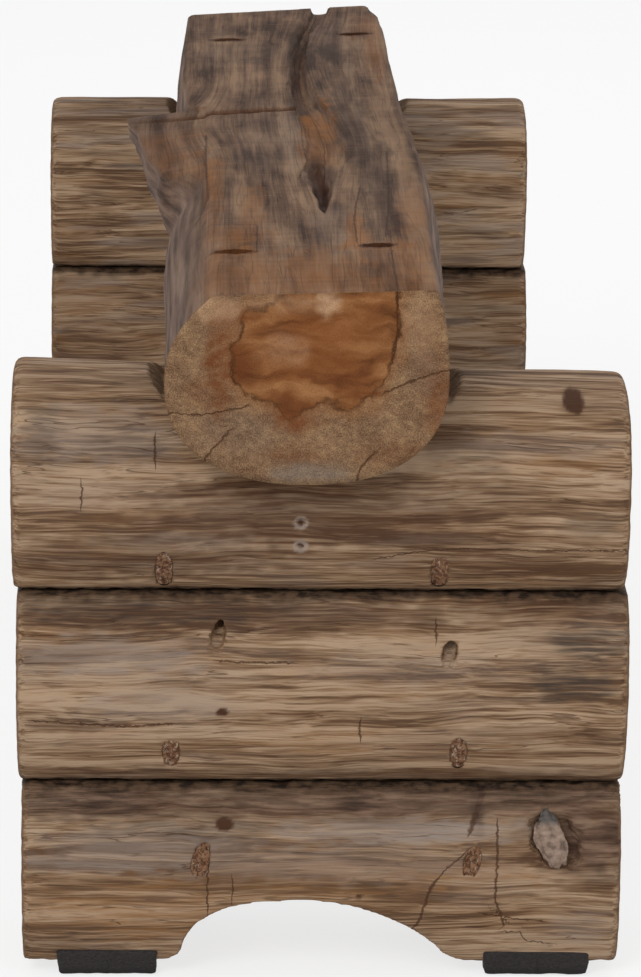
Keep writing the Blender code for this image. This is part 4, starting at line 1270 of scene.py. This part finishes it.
def end_face(tree, place):
    """The beam's cut end: speckled sapwood round a stained heart with a dark outline."""
    c = colours()
    warm, pale, blue, depth = shares(tree, "stains")
    speck = streaks(tree, place, (0.9, 6, 0.9), 3.0, 3.0, 0.3, 0.7)
    cloud = streaks(tree, place, (22, 60, 12), 5.0, 7.0, 0.32, 0.68)
    mottle = streaks(tree, place, (5, 20, 3.5), 4.0, 51.0, 0.32, 0.68)
    value = summed(tree, (speck, 0.42), (mottle, 0.28), (cloud, 0.30))
    wood = ramp(tree, value, (0.15, "#5a412c"), (0.5, c.end_sap), (0.88, "#a38460"))
    # Stains bleed in along the pores, so their edges are ragged.
    veil = streaks(tree, place, (7, 30, 5), 4.0, 17.0, 0.30, 0.62)
    veil = spread(tree, veil, 0.35, 1.0)
    warm = times(tree, warm, veil)
    wood = mixed(tree, times(tree, blue, 0.60), wood, c.end_blue)
    # The heart's depth runs from its dark rim inward; noise makes the rim waver.
    depth = spread(tree, depth, -HEART_REACH, HEART_REACH)
    waver = add(tree, "TexNoise", {"Vector": place, "Scale": 0.075, "Detail": 5.0,
                                   "Roughness": 0.62})
    waver = spread(tree, waver, -11.0, 11.0)
    depth = maths(tree, "ADD", depth, waver)
    swirl = bent(tree, place, (24, 30, 16), (26, 0, 22))
    swirl = streaks(tree, swirl, (34, 40, 10), 5.0, 19.0, 0.30, 0.70)
    heart = ramp(tree, swirl, (0.0, "#54301a"), (0.45, c.end_heart), (1.0, "#a17249"))
    core = risen(tree, depth, 6.0, 30.0, 0.55)
    heart = mixed(tree, core, heart, "#7d4823")
    inside = risen(tree, depth, -0.6, 1.4)
    wood = mixed(tree, inside, wood, heart)
    halo = risen(tree, depth, -11.0, 0.0, 0.55)
    outside = maths(tree, "SUBTRACT", 1.0, inside)
    halo = times(tree, halo, outside)
    wood = mixed(tree, halo, wood, "#865630")
    wood = mixed(tree, warm, wood, "#6b3a1c")
    rim = hairline(tree, depth, 0.6, 2.2, 0.3)
    thick = streaks(tree, place, (15, 30, 15), 3.0, 33.0, 0.38, 0.62)
    thick = spread(tree, thick, 0.40, 1.0)
    rim = times(tree, rim, thick)
    wood = mixed(tree, rim, wood, c.end_rim)
    # Pale patches of wood, the brightest one near the top a painted highlight.
    share = times(tree, pale, veil)
    wood = mixed(tree, times(tree, share, 0.85), wood, "#bb9776")
    lines = cracked(tree, place)
    wood = mixed(tree, times(tree, lines, 0.75), wood, c.end_rim)
    # Pores of the end grain are fine dark dots.
    pores = add(tree, "TexVoronoi", {"Vector": place, "Scale": 0.62})
    pores = risen(tree, pores, 0.26, 0.12, 0.38)
    wood = mixed(tree, pores, wood, c.end_rim)
    grit = spread(tree, speck, 0.84, 1.14)
    wood = mixed(tree, 1.0, wood, grit, blend_type="MULTIPLY")
    return wood, lines


def filler_finish():
    """Sawdust and glue pressed in the pockets: matt, reddish, with pale broken chips."""
    c = colours()
    material, tree, shader = new_finish("sawdust_filler", Roughness=0.9,
                                        Specular_IOR_Level=0.2)
    place = millimetres(tree)
    lumps = streaks(tree, place, (2.6, 2.6, 3.2), 4.0, 2.0, 0.32, 0.68)
    wood = ramp(tree, lumps, (0.0, "#513624"), (0.35, "#74503a"), (0.8, c.filler))
    chips = streaks(tree, place, (2.4, 2.4, 4.4), 3.0, 21.0, 0.56, 0.64)
    wood = mixed(tree, chips, wood, "#a48d78")
    split = streaks(tree, place, (3.2, 3.2, 5.0), 2.0, 77.0, 0.0, 1.0)
    split = hairline(tree, split, 0.5, 0.035, 0.008)
    wood = mixed(tree, times(tree, split, 0.6), wood, "#2c1a11")
    tree.links.new(wood, shader.inputs["Base Color"])
    height = summed(tree, (split, -0.9), (chips, 0.5), start=lumps)
    raise_surface(tree, shader, height, 0.8, 0.9)
    return material


def knot_finish():
    """Grey putty worn thin over a knot: pale, smooth, with brown showing through."""
    material, tree, shader = new_finish("grey_knot_putty", Roughness=0.62)
    place = millimetres(tree)
    cloud = streaks(tree, place, (5, 5, 4), 4.0, 6.0)
    wood = ramp(tree, cloud, (0.0, "#58463a"), (0.4, "#80695a"), (1.0, "#9d8776"))
    high = add(tree, "SeparateXYZ", {0: place}, 2)
    grey = risen(tree, high, 106.0, 110.0)
    wood = mixed(tree, grey, wood, "#4d4743")
    tree.links.new(wood, shader.inputs["Base Color"])
    raise_surface(tree, shader, cloud, 0.8, 0.7)
    return material


def rubber_finish():
    """Vulcanised rubber sheet, cut by knife: near black, dusty on its upper half."""
    c = colours()
    material, tree, shader = new_finish("cut_rubber_sheet", Roughness=0.82,
                                        Specular_IOR_Level=0.3)
    place = millimetres(tree)
    high = add(tree, "SeparateXYZ", {0: bent(tree, place, (6, 6, 6), (0, 0, 3))}, 2)
    dust = risen(tree, high, 3.0, 6.5)
    grit = streaks(tree, place, (2, 2, 1), 3.0, 4.0)
    dust = times(tree, dust, grit)
    wood = mixed(tree, dust, c.rubber, "#353130")
    tree.links.new(wood, shader.inputs["Base Color"])
    raise_surface(tree, shader, grit, 0.3, 0.6)
    return material


def steel_finish():
    """Black phosphated screw steel: dull, with faint turning marks and bare spots."""
    c = colours()
    material, tree, shader = new_finish("phosphated_steel", Metallic=1.0)
    place = millimetres(tree)
    spots = streaks(tree, place, (1.6, 1.6, 1.6), 3.0, 8.0)
    tone = mixed(tree, spots, "#2f2d2b", c.steel)
    tree.links.new(tone, shader.inputs["Base Color"])
    dull = spread(tree, spots, 0.55, 0.32)
    tree.links.new(dull, shader.inputs["Roughness"])
    turned = streaks(tree, place, (12, 12, 0.4), 1.0, 9.0)
    raise_surface(tree, shader, turned, 0.05, 0.4)
    return material


def shared(name, maker):
    """A finish made once and used by several pieces."""
    found = bpy.data.materials.get(name)
    return found or maker()


def straight_rays(tree):
    """1 for rays that come from the camera, straight or by a glossy or clear surface."""
    seen = add(tree, "LightPath").node.outputs
    straight = maths(tree, "MAXIMUM", seen["Is Camera Ray"], seen["Is Glossy Ray"])
    return maths(tree, "MAXIMUM", straight, seen["Is Transmission Ray"])


# Operators

class BENCH_OT_seat(bpy.types.Operator):
    """Builds the live edge beam with its crack, rotted knot, stub and slots"""

    bl_idname = "bench.seat"
    bl_label = "Seat Beam"

    def execute(self, context):
        seat = Seat()
        beam = carved(seat.blank((100, 320, 22)), [slot_tools(seat)])
        mesh = beam.data
        places, normals = points_of(mesh)
        end = soft_step(np.abs(normals[:, 1]), 0.55, 0.8)
        end = end * (np.abs(places[:, 1]) > 0.46 * seat.length)
        face = soft_step(-places[:, 1], seat.length / 2 - 1.5 * MM, seat.length / 2 - 0.5 * MM)
        end = np.maximum(end, face)
        top = soft_step(normals[:, 2], 0.55, 0.85)
        along = places[:, 1] / seat.length + 0.5
        across = (places[:, 0] - seat.axis) / seat.width
        drop = (seat.top(along) - places[:, 2]) / MM
        drop -= seat.tilt / MM * np.clip(LEAN_START_SHARE - across, 0, 1)
        inner = np.abs(places[:, 0] - seat.axis) < GROOVE_SPAN_SHARE * seat.width
        # The groove share is painted shade: it darkens the crack, the worn valley and the rotted
        # knot's hollow the deeper they lie, and then the slots and the saw cut.
        groove = soft_step(drop, 6.0, 15.0) * inner * (1 - end) * (drop < GROOVE_DEEPEST)
        side = (1 - top) * (1 - end) * (1 - groove) * soft_step(drop, 0.5, 5.0)
        for x, y, _, size, dark in SLOTS:
            reach = ((places[:, 0] / MM - x) / size / 1.08) ** 2
            reach += ((places[:, 1] / MM - y) / (SLOT_WIDTH / MM + 1)) ** 2
            slot = soft_step(-reach, -1.3, -1.0) * (drop < GROOVE_DEEPEST)
            groove = np.maximum(groove, dark * slot)
        groove = np.maximum(groove, (1 - side) * np.clip(1.7 * seat.sawn(along, across), 0, 1))
        marks = painted(places, (0, 1), SEAT_MARKS, ("amber", "dark", "light", "lilac"),
                        (9, 24, 9), 1 - side * 0.9)
        marks[0] = np.maximum(marks[0], 0.5 * groove)
        set_marks(mesh, "parts", [end, side, groove, self.figure(seat, places, along)])
        set_marks(mesh, "marks", marks)
        front = end * (places[:, 1] < 0)
        heart = 0.5 + outline_offset(places, HEART_OUTLINE) / HEART_REACH / 2
        stains = painted(places, (0, 2), END_MARKS, ("warm", "pale", "blue"), (13, 13, 13), front)
        set_marks(mesh, "stains", [*stains, heart * front])
        upward = top * (1 - end)
        lines = crack_marks(places, TOP_CRACKS, upward, (0, 1))
        faced = crack_marks(places, END_CRACKS, front)
        set_marks(mesh, "cracks", [np.where(front > 0.5, near, far)
                                   for near, far in zip(faced, lines)])
        push = 1.2 * grain(places, (40, 130, 30), 1.0) * (1 - top)
        push += 0.45 * grain(places, (16, 60, 14), 4.0, 2) * (1 - 0.3 * top)
        push += 0.30 * grain(places, (5, 30, 5), 9.0, 2)
        push -= 0.7 * groove * np.abs(grain(places, (3.5, 14, 4), 12.0, 2))
        push *= 1 - 0.8 * end
        low = soft_step(seat.near_top - 60 * MM - places[:, 2], 0.0, 10 * MM)
        push = push * (1 - low) + np.minimum(push, 0.0) * low
        move_points(mesh, places + normals * (push * MM)[:, None])
        dress(beam, shared("sawn_weathered_teak", seat_finish))
        take_place(beam, "teak_seat", "seat_beam")
        return {"FINISHED"}

    # Stretch of the beam over which the walls are averaged, how far round the knot and
    # round the stub the fibres bend in millimetres, and the stub's place and length
    STRETCH = 0.07
    KNOT_BEND = 26
    STUB_BEND = 34
    STUB_SWING = 22
    STUB_PLACE = 0.52
    STUB_LENGTH = 0.09

    def figure(self, seat, places, along):
        """Where each point lies across the figure of the wood, which flows round the knot."""
        rows = np.array(GROOVE_SHARES)
        across = (places[:, 0] - seat.axis) / MM
        width = seat.width / MM
        # The fibres turn gently, so both walls are averaged over a stretch of the beam.
        spread = along + np.linspace(-self.STRETCH, self.STRETCH, 7)[:, None]
        left = np.interp(spread, rows[:, 0], rows[:, 1]).mean(axis=0) * width
        right = np.interp(spread, rows[:, 0], rows[:, 2]).mean(axis=0) * width
        reach = np.where(across < left, across - left, np.maximum(across - right, 0))
        near = np.exp(-np.abs(reach) / self.KNOT_BEND) * soft_step(along, 0.08, 0.24)
        pull = np.where(across < (left + right) / 2, left, right) - 0.06 * width
        flow = across - pull * near
        # The figure also swings out round the branch stub on the left.
        stub = np.exp(-((along - self.STUB_PLACE) / self.STUB_LENGTH) ** 2)
        flow += self.STUB_SWING * (stub * np.exp(-np.abs(across + 80) / self.STUB_BEND))
        flow += 3.5 * grain(places, (70, 330, 70), 15.0)
        return 0.5 + flow / FIGURE_REACH / 2


class BENCH_OT_logs(bpy.types.Operator):
    """Builds the six short logs with their saddles, arches, pockets and wear"""

    bl_idname = "bench.logs"
    bl_label = "Logs"

    def execute(self, context):
        seat = Seat()
        for name in LOG_SHARES:
            log = Log(name)
            tools = [pocket_tools(log)]
            if log.layer == "bottom_log":
                tools.append(arch_tool(log))
            if log.layer == "top_log":
                tools += [saddle_tool(log, seat), brim_tool(log, seat)]
            item = carved(log_blank(log), tools, sizes().log_step)
            item.name = item.data.name = "fine_" + name
            places, normals = points_of(item.data)
            marks = log_marks(log, places, normals)
            wear = log_wear(log, places, normals)
            move_points(item.data, relief(log, places, normals))
            set_marks(item.data, "marks", marks)
            set_marks(item.data, "wear", wear)
            facing = (normals[:, 1] < 0) & (log.stack == "near")
            set_marks(item.data, "cracks", crack_marks(places, LOG_CRACKS, facing))
            dress(item, shared("dry_debarked_teak", log_finish))
            take_place(item, "teak_log", name)
        return {"FINISHED"}


class BENCH_OT_fillers(bpy.types.Operator):
    """Builds the cracked filler in the screw pockets and over the large knot"""

    bl_idname = "bench.fillers"
    bl_label = "Fillers"

    def execute(self, context):
        for name in LOG_SHARES:
            log = Log(name)
            for pocket in POCKETS:
                if pocket.log == log.layer and pocket.filled:
                    self.plug(log, pocket)
        self.knot()
        return {"FINISHED"}

    def plug(self, log, pocket):
        s = sizes()
        bm = bmesh.new()
        bmesh.ops.create_cone(bm, cap_ends=True, cap_tris=False, segments=40,
                              radius1=s.pocket_radius + 0.4 * MM,
                              radius2=s.pocket_radius + 0.4 * MM, depth=2.0)
        cap = [f for f in bm.faces if f.normal.z > 0.9]
        for _ in range(5):
            bmesh.ops.inset_region(bm, faces=cap, thickness=0.75 * MM, use_even_offset=True)
        turn = (-log.drive(pocket)).to_track_quat("Z", "Y").to_matrix()
        drive = log.drive(pocket)
        mouth = log.mouth(pocket)
        for v in bm.verts:
            if v.co.z < 0:
                v.co = mouth + turn @ Vector((v.co.x, v.co.y, -PLUG_DEPTH))
                continue
            ray = mouth + turn @ Vector((v.co.x, v.co.y, 0))
            reach = self.depth_to_face(log, ray, drive)
            sink = 0.2 + 0.8 * noise.fractal(ray / (3.5 * MM), 0.9, 2.1, 3)
            v.co = ray + drive * (reach + max(-0.3, sink) * MM)
        item = finished_object(f"cracked_{log.stack}_{pocket.label}", bm,
                               shared("sawdust_filler", filler_finish))
        take_place(item, "wood_filler", f"{log.stack}_{pocket.label}")

    def depth_to_face(self, log, ray, drive):
        """How far along the drive a line meets the log's face."""
        low, high = -PLUG_DEPTH, PLUG_DEPTH
        for _ in range(24):
            middle = (low + high) / 2
            spot = ray + drive * middle
            level = 2 * (spot.z - log.place.z) / log.height - 1
            depth = log.depth_at(max(-1.0, min(1.0, level)))
            inside = abs(spot.y - log.place.y) < depth
            low, high = (low, middle) if inside else (middle, high)
        return low

    # The putty's middle, half width and half height in millimetres, and the sine
    # and cosine of its lean
    PUTTY = (154, 97, 9.5, 19)
    LEAN = (0.30, 0.93)

    def knot(self):
        """A worn lump of grey putty, seated in the torn knot."""
        log = Log("near_bottom_log")
        middle, level_of_middle, half_width, half_height = self.PUTTY
        aside, upright = self.LEAN
        bm = bmesh.new()
        bmesh.ops.create_icosphere(bm, subdivisions=5, radius=1.0)
        for v in bm.verts:
            lump = 1 + 0.24 * noise.fractal(v.co * 1.7 + Vector((4, 1, 2)), 0.9, 2.1, 4)
            narrow = 1 - 0.06 * v.co.z
            x = v.co.x * half_width * narrow * lump
            z = v.co.z * half_height * lump
            across = middle + x * upright + z * -aside
            height = level_of_middle + z * upright + x * aside
            level = 2 * (height * MM - log.place.z) / log.height - 1
            face = log.depth_at(max(-1.0, min(1.0, level))) / MM
            out = face - 1.6 + (3.2 if v.co.y < 0 else 9.0) * -v.co.y * lump
            v.co = Vector((across * MM, log.place.y - out * MM, height * MM))
        item = finished_object("knot_putty", bm, shared("grey_knot_putty", knot_finish))
        take_place(item, "wood_filler")


class BENCH_OT_pads(bpy.types.Operator):
    """Builds the knife cut rubber pads under the bottom logs"""

    bl_idname = "bench.pads"
    bl_label = "Rubber Pads"

    # How far the sides lean in from top to foot, across and along, the height of the
    # waves in them and the depth of the wear under them
    SLANTS = (1.6 * MM, 5.5 * MM)
    WAVES = 0.7 * MM
    WORN = 0.6 * MM

    def execute(self, context):
        s = sizes()
        for name in [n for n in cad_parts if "foot_pad" in n]:
            low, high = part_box(name)
            low.y, high.y = low.y - s.pad_reach, high.y + s.pad_reach
            high.x += 0.6 * s.pad_reach if name.endswith("right") else 0.0
            high.z += s.pad_press
            middle, size = (low + high) / 2, high - low
            bm = bmesh.new()
            bmesh.ops.create_cube(bm, size=1.0, matrix=Matrix.Translation(middle)
                                  @ Matrix.Diagonal((*size, 1.0)))
            bmesh.ops.bevel(bm, geom=bm.edges[:], offset=s.pad_round, segments=4,
                            profile=0.5, affect="EDGES", material=-1)
            item = carved(finished_object("rubber_" + name, bm), [], 1.0 * MM)
            places, normals = points_of(item.data)
            wave = grain(places, (16, 16, 9), 1.0, 3)
            places[:, :2] += normals[:, :2] * (self.WAVES * wave)[:, None]
            slant = (high.z - places[:, 2]) / size.z
            for axis, lean in enumerate(self.SLANTS):
                places[:, axis] -= np.sign(places[:, axis] - middle[axis]) * lean * slant
            worn = np.clip(0.5 + grain(places, (11, 11, 30), 5.0, 2), 0, 1)
            places[:, 2] += (normals[:, 2] < -0.5) * self.WORN * worn
            move_points(item.data, places)
            dress(item, shared("cut_rubber_sheet", rubber_finish))
            take_place(item, "pad_rubber", name)
        return {"FINISHED"}


class BENCH_OT_fixings(bpy.types.Operator):
    """Gives the screws and nails their phosphated finish"""

    bl_idname = "bench.fixings"
    bl_label = "Screws and Nails"

    def execute(self, context):
        steel = shared("phosphated_steel", steel_finish)
        for name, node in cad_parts.items():
            if "screw" in name or "nail" in name:
                node.data.materials.clear()
                node.data.materials.append(steel)
        return {"FINISHED"}


class BENCH_OT_stage(bpy.types.Operator):
    """Sets up the floor, soft light, white surroundings and the camera"""

    bl_idname = "bench.stage"
    bl_label = "Studio"

    # Name, place, target, width in metres and power in watts of each lamp
    LAMPS = (
        ("key_light", (-1.5, -3.4, 2.9), (0.0, -0.3, 0.25), 1.8, 62),
        ("fill_light", (2.6, -2.6, 1.4), (0.0, -0.2, 0.25), 2.2, 14),
        ("back_light", (0.6, 2.6, 2.6), (0.0, 0.3, 0.3), 2.0, 14),
    )
    # Half width of the floor in metres, how bright and how strong its own glow is, and
    # how bright the surroundings are for bounced and for straight rays
    FLOOR_HALF = 12.0
    FLOOR_GLOW = 1.06
    GLOW_SHARE = 0.70
    SKY = (0.55, 1.0)
    # Lens and sensor in millimetres, and the camera's place and turn in degrees
    LENS = 160.9
    SENSOR = 36
    CAMERA_PLACE = (-0.0632, -3.170, 1.1015)
    CAMERA_TURN = (73.81, -0.6, -1.244)

    def execute(self, context):
        self.floor()
        self.surroundings(context.scene)
        for row in self.LAMPS:
            self.lamp(*row)
        self.camera(context.scene)
        context.scene.view_settings.view_transform = "Standard"
        return {"FINISHED"}

    def floor(self):
        bm = bmesh.new()
        bmesh.ops.create_grid(bm, x_segments=1, y_segments=1, size=self.FLOOR_HALF)
        material, tree, shader = new_finish("studio_floor", Roughness=0.9)
        shader.inputs["Base Color"].default_value = tuple(colours().floor)
        bright = add(tree, "Emission", {"Color": (1, 1, 1, 1), "Strength": self.FLOOR_GLOW})
        shade = add(tree, "MixShader", {0: self.GLOW_SHARE, 1: shader.outputs[0], 2: bright})
        both = add(tree, "MixShader", {0: straight_rays(tree), 1: shader.outputs[0], 2: shade})
        tree.links.new(both, tree.nodes["Material Output"].inputs[0])
        finished_object("studio_floor", bm, material)

    def surroundings(self, scene):
        world = bpy.data.worlds.new("studio_white")
        scene.world = world
        world.use_nodes = True
        tree = world.node_tree
        ground = tree.nodes["Background"]
        strength = spread(tree, straight_rays(tree), *self.SKY)
        ground.inputs["Color"].default_value = (1, 1, 1, 1)
        tree.links.new(strength, ground.inputs["Strength"])

    def lamp(self, name, place, target, size, power):
        data = bpy.data.lights.new(name, "AREA")
        data.shape = "DISK"
        data.size = size
        data.energy = power
        item = bpy.data.objects.new(name, data)
        item.location = place
        item.rotation_euler = (Vector(target) - Vector(place)).to_track_quat("-Z", "Y").to_euler()
        bpy.context.scene.collection.objects.link(item)

    def camera(self, scene):
        """At the photograph's angle: 16 degrees down, far away, a little to the left."""
        data = bpy.data.cameras.new("camera")
        data.sensor_width = self.SENSOR
        data.lens = self.LENS
        item = bpy.data.objects.new("camera", data)
        item.location = self.CAMERA_PLACE
        item.rotation_euler = Euler([radians(turn) for turn in self.CAMERA_TURN])
        scene.collection.objects.link(item)
        scene.camera = item


OPERATORS = (BENCH_OT_seat, BENCH_OT_logs, BENCH_OT_fillers, BENCH_OT_pads, BENCH_OT_fixings,
             BENCH_OT_stage)


class BENCH_PT_panel(bpy.types.Panel):
    """Lists the bench's pieces, sizes and colours"""

    bl_label = "Teak Log Bench"
    bl_idname = "BENCH_PT_panel"
    bl_space_type = "VIEW_3D"
    bl_region_type = "UI"
    bl_category = "Bench"

    def draw(self, context):
        for operator in OPERATORS:
            self.layout.operator(operator.bl_idname)
        for group in (context.scene.bench_sizes, context.scene.bench_colours):
            column = self.layout.column(align=True)
            for name in group.__annotations__:
                column.prop(group, name)


CLASSES = (BenchSizes, BenchColours, *OPERATORS, BENCH_PT_panel)


def register():
    for item in CLASSES:
        bpy.utils.register_class(item)
    bpy.types.Scene.bench_sizes = PointerProperty(type=BenchSizes)
    bpy.types.Scene.bench_colours = PointerProperty(type=BenchColours)


def unregister():
    del bpy.types.Scene.bench_colours
    del bpy.types.Scene.bench_sizes
    for item in reversed(CLASSES):
        bpy.utils.unregister_class(item)


def main():
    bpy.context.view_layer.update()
    register()
    bpy.ops.bench.seat()
    bpy.ops.bench.logs()
    bpy.ops.bench.fillers()
    bpy.ops.bench.pads()
    bpy.ops.bench.fixings()
    bpy.ops.bench.stage()


if __name__ == "__main__":
    main()
